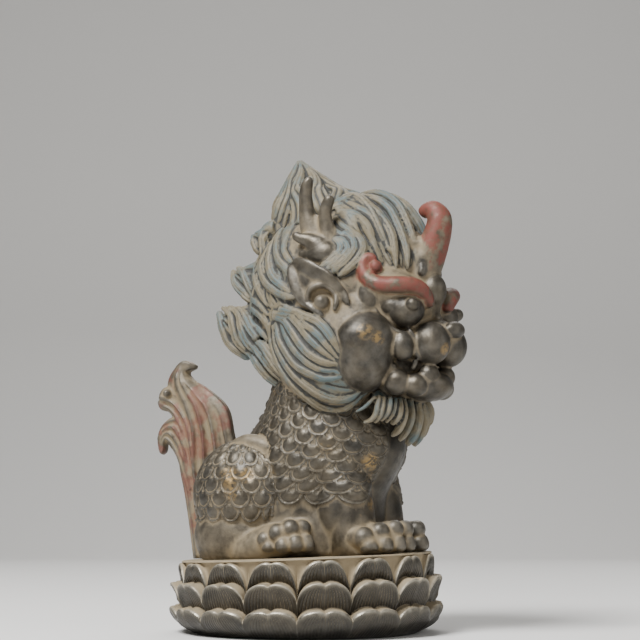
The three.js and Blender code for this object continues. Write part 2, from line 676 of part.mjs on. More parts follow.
function face(side) {
  return [
    ball([18, 6.8 * side, -3.6], [3.9, 3.5, 3.2], 12),
    ball([20.1, 8.7 * side, -3.4], [1.3, 1.3, 1.3], 7),
    ball([12.1, 10.6 * side, -11.9], [5.9, 5.1, 6.2], 14),
    ball([22.8, 3 * side, -11], [3.2, 3, 3.1], 12),
    ball([18.3, 7.6 * side, -11.2], [2.6, 2.4, 2.8], 10),
    ball([16.7, 7.4 * side, -17], [2.7, 2.6, 3.4], 10),
    ball([19.8, 4.8 * side, -18.8], [2.1, 2.1, 2.1], 8),
    ball([21, 2.4 * side, -16.6], [2, 2, 1.9], 8),
    ball([11.5, 11.2 * side, -0.8], [2.4, 2, 3], 8),
    ball([17.4, 1.8 * side, 4.6], [1.7, 1.4, 1.8], 7),
  ];
}

// The mouth is a slit between the snout and the lower jaw, open at its corners.
function mouth() {
  const corners = [-1, 1].map((side) => ball([19, 6.6 * side, -14.6], [2.2, 3, 2.4], 8));
  return [ball([20.6, 0, -15], [6.4, 7.4, 1], 12, new THREE.Euler(0, 0.1, 0)), ...corners];
}

// Beard: strands that fan down from the lower jaw onto the chest.
function beard() {
  const strands = [];
  for (let k = -3; k <= 3; k += 1) {
    const y = k * 2.1;
    const root = vec(16 - Math.abs(k) * 0.9, y, -20);
    const bend = vec(17.4 - Math.abs(k) * 1.1, y * 1.15, -24);
    const tip = vec(16.6 - Math.abs(k) * 1.6, y * 1.5, -28.8 + Math.abs(k) * 0.5);
    strands.push(lock([root, bend, tip], [1.5, 1.6, 1.3, 0.5], [1.8, 1.7, 1.3, 0.5], vec(6, 0, -24), 6, 5));
  }
  return strands;
}

function headSolids() {
  const bulk = HEAD_MASSES.map(({ place, radii, around }) => ball(place, radii, around));
  const snout = [
    ball([18, 0, -10.2], [7.4, 7.4, 4.9], 14),
    ball([25.4, 0, -8.6], [1.9, 2.4, 1.8], 8),
    ball([20.4, 0, -0.6], [2.5, 2.4, 2.6], 8),
    ball([18.2, 0, -18.6], [5.2, 6.4, 3.6], 14),
    ball([14, 0, -15], [5, 8, 6], 12),
  ];
  let head = join([...bulk, ...snout].map(solid)).subtract(join(mouth().map(solid)));
  const carved = [crest(), horn(), ...beard()];
  for (const side of [-1, 1]) {
    carved.push(...hair(side), ...antler(side), ...ear(side), ...brow(side), ...face(side));
  }
  head = join([head, ...carved.map(solid)]);
  return solid(geometryOf(head).rotateZ(HEAD_TURN).translate(...HEAD_PLACE.toArray()));
}

// Everything below the leaning seat is cut away, with the clearance to the base.
function underSeat() {
  const reach = 3 * SEAT_RADIUS;
  const block = new THREE.BoxGeometry(2 * reach, 2 * reach, reach);
  block.translate(0, 0, SEAT_GAP - reach / 2);
  const axis = vec(-Math.sin(LEAN_HEADING), Math.cos(LEAN_HEADING), 0);
  block.applyQuaternion(new THREE.Quaternion().setFromAxisAngle(axis, -TOP_LEAN));
  block.translate(0, 0, BASE_HEIGHT);
  return solid(block);
}

// Hollows closed in between locks and the head are filled: only shells that
// hold material are kept.
function filled(manifold) {
  return join(manifold.decompose().filter((shell) => shell.volume() > 0));
}

function qilin() {
  const drawn = geometryOf(join([...bodySolids(), headSolids()]));
  const figure = solid(drawn.scale(share, share, share).translate(0, 0, BASE_HEIGHT));
  return filled(figure.subtract(underSeat()));
}

const model = new THREE.Group();
const baseMesh = new THREE.Mesh(geometryOf(lotusBase()), baseBronze);
baseMesh.name = 'lotus_base';
const onSeat = (point) => point.z < seatHeight(point.x, point.y) + 2 * SEAT_GAP;
const figureGeometry = drawTogether(geometryOf(qilin()), SHORTEST_EDGE, onSeat);
const figureMesh = new THREE.Mesh(figureGeometry, bronze);
figureMesh.name = 'qilin';
model.add(baseMesh, figureMesh);

export default model;
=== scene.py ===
import math
from contextlib import contextmanager

import bmesh
import bpy
import numpy as np
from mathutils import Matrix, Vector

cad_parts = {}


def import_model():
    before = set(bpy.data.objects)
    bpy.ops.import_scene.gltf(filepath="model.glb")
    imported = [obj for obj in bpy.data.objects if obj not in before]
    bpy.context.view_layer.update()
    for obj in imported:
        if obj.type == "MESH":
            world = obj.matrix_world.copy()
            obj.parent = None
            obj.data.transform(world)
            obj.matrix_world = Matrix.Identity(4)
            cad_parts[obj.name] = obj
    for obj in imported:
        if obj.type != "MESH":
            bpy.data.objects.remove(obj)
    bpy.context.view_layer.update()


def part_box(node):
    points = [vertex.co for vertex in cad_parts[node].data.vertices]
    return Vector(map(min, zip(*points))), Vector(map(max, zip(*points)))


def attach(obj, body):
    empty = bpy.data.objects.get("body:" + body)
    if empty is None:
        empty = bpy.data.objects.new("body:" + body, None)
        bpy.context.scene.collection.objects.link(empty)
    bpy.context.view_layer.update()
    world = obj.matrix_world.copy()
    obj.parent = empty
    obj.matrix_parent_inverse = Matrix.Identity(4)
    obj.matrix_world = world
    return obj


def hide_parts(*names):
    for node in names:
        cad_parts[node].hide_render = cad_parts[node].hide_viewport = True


# A small cast bronze qilin on a lotus base. Lengths are in millimetres until a
# piece is finished, and +X is the way the beast's body faces.

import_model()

MM = 0.001
DEGREE = math.pi / 180

# Sizes of the base, as in the solids.
BASE_HEIGHT = 14.6
BASE_RADIUS = 26.9
FOOT_RADIUS = 21.6
SEAT_RADIUS = 24.6
PETAL_COUNT = 16
FIRST_PETAL = -57.2 * DEGREE
TOP_LEAN = 2.2 * DEGREE
LEAN_HEADING = 25 * DEGREE
SEAT_GAP = 0.1

# The crest is drawn this high above the seat, and the figure follows the solid's height.
DRAWN_CREST = 80.8
FIGURE_SHARE = (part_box("qilin")[1].z / MM - BASE_HEIGHT) / DRAWN_CREST

# The head's own frame has +X along the snout. It is turned on the neck.
HEAD_TURN = -10 * DEGREE
HEAD_PLACE = np.array([8.4, 0, 50.4])

# How fine the fused casting is, and how many triangles it keeps.
VOXEL = 0.21
MOST_TRIANGLES = 196000


def spline(points, shares):
    """A smooth curve through the points, read at shares of its length from 0 to 1.

    Each span is a cubic. Its end slopes come from the neighbouring points, which
    count by the square root of their distance.
    """
    p = np.asarray(points, float)
    p = np.vstack([2 * p[0] - p[1], p, 2 * p[-1] - p[-2]])
    gap = np.sqrt(np.linalg.norm(np.diff(p, axis=0), axis=1))[:, None] + 1e-6
    place = np.asarray(shares, float) * (len(p) - 3)
    i = np.minimum(place.astype(int), len(p) - 4)
    w = (place - i)[:, None]
    before, start, end, after = p[i], p[i + 1], p[i + 2], p[i + 3]
    g0, g1, g2 = gap[i], gap[i + 1], gap[i + 2]
    slope_in = ((start - before) / g0 - (end - before) / (g0 + g1) + (end - start) / g1) * g1
    slope_out = ((end - start) / g1 - (after - start) / (g1 + g2) + (after - end) / g2) * g1
    return ((2 * w**3 - 3 * w**2 + 1) * start + (w**3 - 2 * w**2 + w) * slope_in
            + (3 * w**2 - 2 * w**3) * end + (w**3 - w**2) * slope_out)


def unit(v):
    """Vectors scaled to length one."""
    return v / (np.linalg.norm(v, axis=-1, keepdims=True) + 1e-12)


def turned(x, y, angle):
    """A place turned about +Z by an angle."""
    c, s = math.cos(angle), math.sin(angle)
    return c * x - s * y, s * x + c * y


def skin(rings):
    """Triangles of a closed skin over rings of equal count, with a pole at each end.

    rings is an array of ring, place on the ring and coordinate. Each pole is the
    middle of its end ring, and the faces are turned so that the volume is positive.
    Each point has a fourth value, the cosine of its place on the ring, which tells
    how far across its form it lies.
    """
    count, around = rings.shape[:2]
    poles = np.stack([rings[0].mean(0), rings[-1].mean(0)])
    across = np.append(np.tile(np.cos(np.arange(around) * 2 * math.pi / around), count), [0, 0])
    points = np.column_stack([np.vstack([rings.reshape(-1, 3), poles]), across])
    i, j = np.meshgrid(np.arange(count - 1), np.arange(around), indexing="ij")
    a, b = i * around + j, i * around + (j + 1) % around
    sides = np.concatenate([np.stack([a, b, b + around], -1).reshape(-1, 3),
                            np.stack([a, b + around, a + around], -1).reshape(-1, 3)])
    j = np.arange(around)
    last = (count - 1) * around
    start = np.stack([np.full(around, count * around), (j + 1) % around, j], -1)
    end = np.stack([np.full(around, count * around + 1), last + j, last + (j + 1) % around], -1)
    triangles = np.concatenate([sides, start, end])
    corner = points[triangles, :3]
    if np.einsum("ij,ij->i", corner[:, 0], np.cross(corner[:, 1], corner[:, 2])).sum() < 0:
        triangles = triangles[:, ::-1]
    return points, triangles


def ball(centre, radii, turn=0.0, around=40):
    """An ellipsoid: x, y and z are the radii times the sines and cosines of two angles.

    turn tips it about the Y axis through its own centre.
    """
    up = np.linspace(-0.5, 0.5, around // 2 + 1)[1:-1, None] * math.pi
    turn_round = np.linspace(0, 2 * math.pi, around, endpoint=False)[None, :]
    x = np.cos(up) * np.cos(turn_round) * radii[0]
    y = np.cos(up) * np.sin(turn_round) * radii[1]
    z = np.sin(up) * np.ones_like(turn_round) * radii[2]
    c, s = math.cos(turn), math.sin(turn)
    return skin(np.stack([c * x + s * z, y, c * z - s * x], -1) + np.asarray(centre, float))


def tube(middle, out, half_widths, half_depths, sides=18, grooves=0, groove=0.12):
    """An oval section carried along a row of middle points.

    At each point the section is across times width times cosine plus out times
    depth times sine. Grooves are cosine dips of the radius that run along it.
    """
    tangent = unit(np.gradient(middle, axis=0))
    out = unit(out - (out * tangent).sum(-1, keepdims=True) * tangent)
    across = unit(np.cross(tangent, out))
    angle = np.linspace(0, 2 * math.pi, sides, endpoint=False)
    dip = 1 - np.reshape(groove, (-1, 1)) * (0.5 + 0.5 * np.cos(2 * grooves * angle)) * (grooves > 0)
    wide = np.cos(angle) * dip * np.reshape(half_widths, (-1, 1))
    deep = np.sin(angle) * dip * np.reshape(half_depths, (-1, 1))
    return skin(middle[:, None] + across[:, None] * wide[..., None] + out[:, None] * deep[..., None])


def sized(sizes, shares, tip=0.06):
    """Sizes read along a path, rounded off to nothing over the last stretch at each end."""
    size = spline(np.stack([sizes, np.zeros(len(sizes))], -1), shares)[:, 0]
    ends = np.clip(np.minimum(shares, 1 - shares) / tip, 0, 1)
    return np.maximum(size, 0.05) * np.sqrt(1 - (1 - ends) ** 2 + 1e-4)


def lock(path, half_widths, half_depths, heart, steps=36, tip=0.06, **section):
    """A lock, toe or horn: an oval carried along a smooth curve, deep away from the heart."""
    shares = np.linspace(0, 1, steps)
    middle = spline(path, shares)
    out = middle - np.asarray(heart, float)
    return tube(middle, out, sized(half_widths, shares, tip), sized(half_depths, shares, tip), **section)


# The figure's body. Heights are above the seat.

# Ovals of the trunk: height, middle, half length and half width.
TRUNK = np.array([
    [-2, -2, 17, 12], [7, -1.6, 17.6, 12.8], [11.8, -1, 17.4, 12.8], [14.3, 0.6, 17, 12.8],
    [19.4, 3.2, 17, 12.8], [23.4, 4.6, 15.8, 12.4], [28, 5.6, 13.6, 11.6], [33.4, 6, 12.2, 10.8],
    [40, 6.5, 11.5, 10],
], float)

# The trunk's scales: how many stand round it, how much larger they grow on the chest,
# the height of a row and of the lowest one, and the half angle of the plain belly.
TRUNK_SCALES = 22
CHEST_GROWTH = 0.8
TRUNK_ROW = 2.25
LOWEST_ROW = 12.4
BELLY = 20 * DEGREE

# The left haunch: its middle and radii, and the width, row height and lowest row of its scales.
HAUNCH_PLACE = np.array([-9, 8.5, 11.9])
HAUNCH_RADII = np.array([10.8, 7, 10.5])
HAUNCH_PITCH = 4.5
HAUNCH_ROW = 2.6
LOWEST_HAUNCH_ROW = 8.85


def trunk_section(height):
    """Middle, half length and half width of the trunk's oval at each height."""
    fine = spline(TRUNK, np.linspace(0, 1, 200))
    return [np.interp(height, fine[:, 0], fine[:, k]) for k in (1, 2, 3)]


def stacked_ovals(height, middle, length, width, around):
    """A skin over level ovals: x is middle plus length times cosine, y width times sine."""
    turn = np.linspace(0, 2 * math.pi, around, endpoint=False)
    x = middle[:, None] + np.outer(length, np.cos(turn))
    return skin(np.stack([x, np.outer(width, np.sin(turn)), np.outer(height, np.ones(around))], -1))


def trunk():
    """The trunk's ovals at even heights, from under the seat up to the neck."""
    height = np.linspace(-2, 40, 90)
    return stacked_ovals(height, *trunk_section(height), 128)


def mirror_image(form):
    """The same form on the other side: y and the place across it change their signs."""
    points, triangles = form
    return points * [1, -1, 1, -1], triangles[:, ::-1]


# Toes of one foot: knuckle, claw and radius, [forward, left, up].
FORE_TOES = [([16.9, 10.8, 3.6], [18.3, 11, 0.9], 1.95), ([19.2, 8.6, 4.7], [20.5, 9, 0.9], 1.75),
             ([21, 5.8, 5.2], [21.9, 6.2, 0.9], 1.65), ([22, 3, 5.2], [22.6, 3.3, 0.9], 1.6)]
HIND_TOES = [([-1.3, 15.2, 3.2], [-0.2, 15.9, 0.8], 1.6), ([1.3, 15.3, 4.4], [3, 16, 0.8], 1.7),
             ([3.6, 14.6, 5.2], [5.3, 15.4, 0.9], 1.7), ([5.1, 12.8, 5.3], [6.8, 14, 0.9], 1.6)]


def toe(heel, knuckle, foot, radius):
    """A toe: a round finger that ends in a knuckle, and a blunt claw that stands under it."""
    heel, knuckle, foot = np.array(heel), np.array(knuckle), np.array(foot)
    start = 0.72 * knuckle + 0.28 * foot
    sizes = radius * np.array([[0.9, 0.95, 1.05], [0.9, 0.95, 1], [0.85, 0.92, 0.8], [0.85, 0.92, 0.75]])
    finger = [heel, (heel + knuckle) / 2 + [0, 0, 0.3], knuckle]
    claw = [start, (start + foot) / 2 + [0.3, 0, 0], foot]
    return [lock(finger, *sizes[:2], [*heel[:2], -9], tip=0.3, sides=28),
            ball(knuckle, [1.08 * radius] * 3, around=32),
            lock(claw, *sizes[2:], heel - [4, 0, 0], tip=0.3, sides=28, steps=24)]


def foreleg():
    """The shoulder, the mass behind it and the shank of a foreleg."""
    sizes = [4.9, 4.7, 4.7]
    return [ball([11, 6.9, 9], [5.8, 5.3, 7.5], around=64),
            ball([3.4, 7.6, 4], [8.6, 4.6, 10], around=64),
            lock([[9.5, 6.8, 20], [12.4, 7.2, 9], [13.2, 6.8, -2]], sizes, sizes, [0, 7, 8], sides=48)]


def forepaw():
    """The paw and four toes of a foreleg."""
    parts = [ball([16, 6.3, 2.8], [5.9, 5.2, 3.6], around=56)]
    for (x, y, z), claw, radius in FORE_TOES:
        parts += toe([x - 4, y * 0.75 + 1.6, z * 0.85], [x, y, z], claw, radius)
    return parts


def hind_foot():
    """The flat foot and four toes of a hind leg."""
    parts = [ball([-2.4, 12, 2.2], [8.4, 4.2, 3.8], turn=-0.22, around=64)]
    for (x, y, z), claw, radius in HIND_TOES:
        parts += toe([x - 2, y - 2.6, z], [x, y, z], claw, radius)
    return parts


def haunch_rib():
    """A smooth rib over the upper front edge of the haunch, on an arc round its middle."""
    turn = np.radians(112 - 30 * np.arange(5))
    arc = 0.95 * np.stack([np.cos(turn), 0 * turn, np.sin(turn)], -1)
    return lock(HAUNCH_PLACE + arc * HAUNCH_RADII + [0, 1.6, 0], [0.8, 1.6, 1.9, 1.7, 0.8],
                [1, 1.9, 2.2, 1.9, 0.9], HAUNCH_PLACE, tip=0.25, sides=32, steps=60)


def spine_knobs():
    """Small knobs along the spine, from the nape down to the tail."""
    height = 30 - 3.1 * np.arange(5)
    middle, length, _ = trunk_section(height)
    return [ball([x, 0, z], [1.6, 1.4, 1.4], around=24) for x, z in zip(middle - length, height)]


# Tail: flames in the beast's middle plane. Each has a count of locks, their depth, the
# share of its length that ends smooth, and its left and right edges as [x, height].
TAIL_FLAMES = [
    (5, 2.6, 0.6,
     [[-25.2, -1.5], [-26.4, 6], [-27.7, 13], [-29, 19], [-28.6, 25], [-30.4, 31], [-31.6, 35.6],
      [-30.3, 38.2], [-28.4, 39.8], [-25.2, 38.9]],
     [[-17, -1.5], [-17, 7], [-16, 14], [-15.6, 19], [-16.9, 24.6], [-18.3, 28.8], [-22.6, 32.4],
      [-26.6, 35.4], [-27.8, 37.5], [-25.2, 38.4]]),
    (3, 2.3, 0.35,
     [[-26.6, 13], [-28.4, 20], [-29.2, 25.6], [-31.4, 29.2], [-33.3, 30.2], [-34.1, 31.8]],
     [[-22, 14], [-22.6, 22], [-24.6, 28], [-28.5, 32.6], [-32, 34.3], [-34, 32.5]]),
    (4, 2.6, 0.1,
     [[-25.8, 8], [-27.6, 14.5], [-29.6, 20], [-31.2, 22.4], [-32, 23.4], [-32.5, 22.8], [-32.6, 21.8],
      [-33, 20.8]],
     [[-23.5, 8], [-24.6, 16], [-26.5, 23], [-29.3, 28.2], [-32.6, 27.1], [-34.1, 24.6], [-34, 21.8],
      [-33.2, 20.4]]),
]


def between(first, last, count, depth, normal, steps=60, smooth=0.0, groove=0.12, **section):
    """Locks laid side by side between two edge lines, each an oval along its own line.

    Lock k runs at the share (k + 1/2) / count from one edge to the other. Its half
    width is 0.62 of its share of the distance between the edges, so that neighbours
    sink into each other and all meet in one tip. Over the smooth share at the end
    the locks widen and lose their grooves.
    """
    shares = np.linspace(0, 1, steps)
    a, b = spline(first, shares), spline(last, shares)
    pitch = np.linalg.norm(b - a, axis=1) / count
    normal = np.tile(np.asarray(normal, float), (steps, 1))
    plain = np.clip((shares - 1 + smooth) / max(smooth, 0.01), 0, 1) if smooth else 0 * shares
    ends = np.sqrt(np.clip((1 - shares) / 0.05, 0, 1) + 1e-4)
    half_width = np.maximum((0.62 + 0.5 * plain) * pitch, 0.25)
    made = []
    for share in (np.arange(count) + 0.5) / count:
        arch = math.sin(math.pi * share) ** 0.5
        half_depth = np.minimum(depth * arch, half_width * 1.3 + 0.35 * depth)
        made.append(tube(a + (b - a) * share, normal, half_width * ends, half_depth * ends,
                         groove=groove * (1 - plain), **section))
    return made


def tail():
    """The three flames and the small ball in the fork between the first two."""
    made = [ball([-31.5, 0, 33.2], [1.2, 2.9, 1.2], around=24)]
    for count, depth, smooth, *edges in TAIL_FLAMES:
        edges = [[[x, 0, z] for x, z in edge] for edge in edges]
        made += between(*edges, count, depth, [0, 1, 0], sides=36, grooves=3, groove=0.18, smooth=smooth,
                        steps=80)
    return made


# The figure's head, in its own frame.

# Balls under the hair and the face: place and radii.
HEAD_MASSES = [
    ([-1, 0, 0], [18.5, 15.5, 19.5]),
    ([3.6, 0, 6], [12, 12, 14.3]),
    ([11, 0, -2], [10, 11, 9]),
    ([11.4, 0, 4.6], [7.6, 8.4, 6.4]),
    ([2.5, -8.5, -9.5], [13, 7.5, 13.2]),
    ([2.5, 8.5, -9.5], [13, 7.5, 13.2]),
]


def on_head(points, lift):
    """Points carried straight out from the head's heart onto its masses, then lifted.

    A ray meets an ellipsoid where the square of its scaled length is one. The
    farthest meeting counts, and the lift follows that mass's own slope. Returns
    the places and the slopes.
    """
    ray = unit(np.asarray(points, float))
    reach = np.zeros(len(ray))
    slope = ray.copy()
    for place, radii in HEAD_MASSES:
        radii = np.array(radii, float)
        d, c = ray / radii, np.array(place, float) / radii
        a, b = (d * d).sum(1), d @ c
        inside = b * b - a * (c @ c - 1)
        far = np.where(inside > 0, (b + np.sqrt(np.maximum(inside, 0))) / a, 0)
        farther = far > reach
        slope[farther] = unit((d * far[:, None] - c) / radii)[farther]
        reach = np.maximum(reach, far)
    return ray * reach[:, None] + slope * np.reshape(lift, (-1, 1)), slope


def combed(first, last, count, relief, ends):
    """Locks combed side by side on the head between two guide lines.

    Lock k follows the share (k + 1/2) / count from one guide to the other, with a
    small sine sway, laid on the head's masses. It swells over its first part and
    closes in a point where its own length ends. Neighbours sink into each other,
    since each half width is up to 0.6 of the distance between them.
    """
    made = []
    shares = np.linspace(0, 1, 60)
    for k in range(count):
        a, b = (spline(guide, shares * ends[k % len(ends)]) for guide in (first, last))
        pitch = np.linalg.norm(b - a, axis=1) / count
        sway = 0.3 * np.sin(2 * math.pi * shares + 1.7 * k)
        middle, slope = on_head(a + (b - a) * ((k + 0.5 + sway) / count)[:, None], 0)
        slope = (slope + np.roll(slope, 1, 0) + np.roll(slope, -1, 0)) / 3
        swell = np.sqrt(np.clip(0.35 + shares * 3, 0, 1)) * np.clip((1 - shares) * 4, 0, 1) ** 0.6
        half_width = np.maximum(0.6 * pitch, 0.35) * (0.25 + 0.75 * swell)
        made.append(tube(middle, slope, half_width, relief * swell + 0.05, sides=24, grooves=2, groove=0.1))
    return made


# Guide lines of the hair on the left side, [forward, left, up].
SIDE_BAND_BACK = [[-5.9, 8, 20], [-9.8, 11.3, 13.6], [-14.4, 10.2, 7.8], [-15.9, 10.4, 2.2],
                  [-14.1, 10.8, -2], [-9.2, 13.3, -5.1]]
SIDE_BAND_EAR = [[-5.4, 8, 19.8], [-5.1, 11.7, 12], [-3.7, 14.6, 6], [-1.6, 15.4, 2.4],
                 [-2, 15.6, 0.4], [-1, 15.4, -2.5]]
RUFF_OUTER = [[-8.4, 14, -3.6], [-7, 14, -10.6], [-2.7, 13.6, -17.6], [3.4, 13, -22],
              [9.5, 11, -23], [14.6, 9, -21.6]]
RUFF_INNER = [[-5.4, 14.7, -1.8], [-1.8, 15.5, -3.1], [2.6, 16.1, -5.1], [5.7, 15.8, -8.4],
              [7.7, 14.7, -12.4], [8.8, 13.2, -16.6]]
FORELOCK_INNER = [[1.2, 5.9, 18.5], [3.4, 8.6, 16.4], [6.9, 9.8, 13.1], [9.7, 10.7, 9.6], [11.6, 10.4, 6],
                  [13.6, 9.4, 3.2]]
FORELOCK_OUTER = [[3.4, 0.6, 21.2], [7.6, 0.6, 19.8], [11.5, 0.6, 17], [14.6, 0.8, 13.4], [17.4, 2, 9.4],
                  [18.6, 3.4, 4.6]]
BACK_SIDE = [[-8, 6.5, 19], [-14, 7.5, 11], [-17.5, 7.5, 2], [-17, 7.5, -7], [-14, 8, -14]]
BACK_MIDDLE = [[-8, 0, 20], [-15, 0, 12], [-18.5, 0, 2], [-18, 0, -8], [-15.5, 0, -15]]

# Locks of the left side, root first: half width, then the places they pass, as degrees
# turned from the snout and degrees risen, seen from the head's heart.
LOCKS = [
    (0.8, [(139, 35), (137, 28), (138, 21), (145, 13), (144, 3), (129, -6), (121, -14)]),
    (0.9, [(132, 39), (143, 28), (148, 21), (137, 11), (127, 1), (120, -8)]),
    (0.9, [(132, 40), (134, 29), (133, 20), (123, 10), (111, 2), (98, -4), (92, -5)]),
    (0.9, [(134, 47), (128, 33), (122, 21), (114, 11), (103, 3), (94, -3)]),
    (0.8, [(135, 49), (123, 36), (113, 25), (101, 15), (94, 7)]),
    (0.6, [(117, 45), (111, 32), (103, 24), (95, 18)]),
    (0.8, [(139, 8), (141, 1), (144, -6), (146, -13), (135, -23), (130, -29)]),
    (0.8, [(145, 3), (144, -4), (130, -12), (124, -19), (125, -27)]),
    (0.9, [(120, -18), (123, -28), (115, -37), (108, -45), (99, -52), (88, -58), (76, -63), (60, -64),
           (50, -60), (43, -55)]),
    (0.9, [(117, -20), (114, -30), (105, -40), (96, -47), (86, -52), (73, -56), (59, -57), (50, -55),
           (45, -51)]),
    (0.9, [(114, -19), (109, -29), (100, -37), (92, -43), (81, -46), (70, -48), (57, -46)]),
    (0.8, [(109, -19), (99, -30), (92, -36), (83, -41), (73, -44), (60, -44)]),
    (0.9, [(116, -15), (105, -19), (93, -28), (86, -34), (77, -39), (68, -41), (60, -41)]),
    (0.8, [(116, -13), (100, -17), (88, -24), (79, -31), (70, -36), (61, -40)]),
    (0.8, [(109, -11), (95, -16), (84, -23), (74, -28), (66, -34), (59, -39)]),
    (0.9, [(99, -12), (87, -18), (74, -22), (68, -26), (63, -31), (58, -37)]),
    (0.95, [(74, 67), (46, 74), (32, 58), (28, 42), (24, 28), (23, 18)]),
    (0.75, [(65, 58), (48, 53), (37, 42), (35, 33), (33, 23)]),
    (0.6, [(67, 55), (57, 45), (47, 38), (44, 33)]),
    (0.6, [(70, 51), (63, 41), (52, 35), (47, 28)]),
    (0.8, [(37, 70), (16, 68), (9, 55), (13, 40), (14, 26)]),
    (0.7, [(55, 66), (42, 57), (32, 48), (28, 37)]),
    (0.8, [(70, 66), (58, 68), (42, 71), (26, 66)]),
    (0.7, [(88, 64), (68, 64), (54, 64)]),
    (0.85, [(58, 40), (51, 35), (49, 27), (55, 18), (63, 12), (67, 9)]),
    (0.8, [(64, 36), (57, 33), (54, 26), (60, 19), (68, 13), (72, 10)]),
    (0.75, [(68, 37), (62, 33), (59, 27), (64, 21), (72, 15), (77, 12)]),
    (0.85, [(55, 43), (46, 36), (43, 27), (48, 18), (56, 11), (61, 7)]),
    (0.9, [(150, 36), (160, 24), (160, 10), (152, -4), (158, -18), (150, -32)]),
    (0.9, [(166, 38), (172, 24), (168, 8), (174, -8), (168, -24), (172, -38)]),
    (0.9, [(146, -6), (158, -16), (150, -28), (140, -38), (128, -44)]),
]
LOCK_SHAPE = np.array([0.55, 0.9, 1, 1, 0.8, 0.2])

# Locks that start on the forehead's ridge and fall forward to the horn.
RIDGE_LOCKS = [
    [[4, 1.2, 20.6], [8, 1.6, 20.4], [11, 1.7, 19.3], [13.5, 1.9, 17.3], [15, 2.2, 15.2], [16.6, 2.6, 12.2],
     [18, 3, 8.6], [18.8, 3.5, 4.8]],
    [[5, 3.6, 19.6], [9.5, 3.9, 18.6], [12.6, 3.8, 16.4], [14.4, 3.9, 13.6], [16, 4.2, 10.4],
     [17.4, 4.8, 6.8], [18, 5.4, 3.4]],
    [[6, 5.4, 18.2], [10, 5.8, 16.4], [12.6, 5.8, 13.8], [14.6, 6, 10.8], [15.8, 6.6, 7.2], [16.6, 7.2, 3.4]],
]

# Locks that stand off the back of the head, tip first, [forward, left, up].
TUFT_LOCKS = [
    [[-16.3, 9, 13.8], [-15, 9.5, 11.9], [-13.6, 9.6, 9.5]],
    [[-15.2, 9, 14.2], [-12.9, 10, 12.7], [-12.2, 10.2, 10.3], [-12, 10.4, 8.1]],
    [[-21.8, 8.5, 7.2], [-20.2, 9.5, 4.6], [-18, 9.4, 2.2], [-15.6, 9.4, -0.1]],
    [[-20.3, 9, 7.6], [-17.5, 10, 5.7], [-15.7, 10.4, 3.4], [-14.4, 10.4, 0.9]],
    [[-24.8, 9.5, -1.1], [-23.7, 9.8, -3], [-22.4, 10, -5.5], [-21.2, 9.6, -8], [-17, 8.5, -11.4]],
    [[-23.5, 10, -0.5], [-20.5, 10.6, -2.2], [-19.1, 11, -5.1], [-18.1, 10.6, -8], [-14.6, 9, -11.4]],
    [[-21.7, 10, -0.4], [-18, 11, -2.8], [-16.5, 11.6, -5.6], [-15.2, 11.4, -8.3], [-12.6, 10, -11.2]],
    [[-19.6, 10, -0.8], [-16.8, 10.8, -2.9], [-14.7, 11.4, -5.5], [-12.7, 11.6, -8.1]],
    [[-17.3, 10, -10], [-15.2, 10.4, -10.8], [-13.3, 10.4, -12.9], [-11.4, 9.6, -15.2], [-9.4, 8.6, -17]],
    [[-16.8, 10.4, -9.3], [-14.1, 11, -9.4], [-11.7, 11.4, -11.2], [-9.8, 10.8, -13.7], [-7, 9.4, -16.7]],
    [[-14.1, 11, -8.2], [-11.1, 12, -9.6], [-9, 12.2, -11.8], [-7, 12, -14.4], [-5, 10.6, -16.7]],
]

# Under the locks the tufts have a core: upper edge, lower edge and depth.
TUFTS = [
    ([[-10, 9.6, 15.6], [-13, 9.6, 14.6], [-15.4, 9.4, 14]],
     [[-13.5, 9.6, 9.6], [-14.6, 9.6, 11.6], [-15.6, 9.4, 13.4]], 1.1),
    ([[-13, 9.4, 8.4], [-16.5, 9.6, 7.4], [-20, 9.2, 7]],
     [[-15.4, 9.2, 1.6], [-18.4, 9.6, 4], [-20.4, 9.2, 6.2]], 1.3),
    ([[-14, 9, -0.6], [-18.6, 9.8, -1], [-22.8, 9.8, -2]],
     [[-13.4, 9, -11.2], [-19.4, 9.8, -8], [-22.6, 9.8, -3.4]], 1.6),
    ([[-11, 9, -10.4], [-14, 9.6, -10.4], [-16.4, 9.8, -10.4]],
     [[-6, 8.6, -17], [-11, 9.4, -14.6], [-16, 9.8, -11.2]], 1.5),
]


def even(rows, rounds=4):
    """Rows drawn towards the mean of their two neighbours, with both ends held."""
    for _ in range(rounds):
        rows = np.vstack([rows[:1], (rows[:-2] + 2 * rows[1:-1] + rows[2:]) / 4, rows[-1:]])
    return rows


def head_locks():
    """Locks laid on the head's masses, off the forehead's ridge, and over the tufts."""
    strands = {"sides": 48, "grooves": 4, "groove": 0.24}
    return ([laid_lock(places, 0.5 * width, 1.3 * width * LOCK_SHAPE, 1.05 * width * LOCK_SHAPE, tip=0.03,
                       steps=70, **strands) for width, places in LOCKS]
            + [lock(path, 1.1 * LOCK_SHAPE, 1.3 * LOCK_SHAPE, [2, 0, 4], steps=60, **strands)
               for path in RIDGE_LOCKS]
            + [lock(path, [0.5, 0.85, 1, 1, 0.9], [0.6, 1.1, 1.5, 1.5, 1.1], [0, 0, -2], steps=50, **strands)
               for path in TUFT_LOCKS])


def tufts():
    """Flames of three locks each that stand off the back of the head."""
    made = []
    for upper, lower, depth in TUFTS:
        made += between(upper, lower, 3, depth, unit(np.array([-0.45, 0.89, 0])), steps=30, grooves=3)
    return made


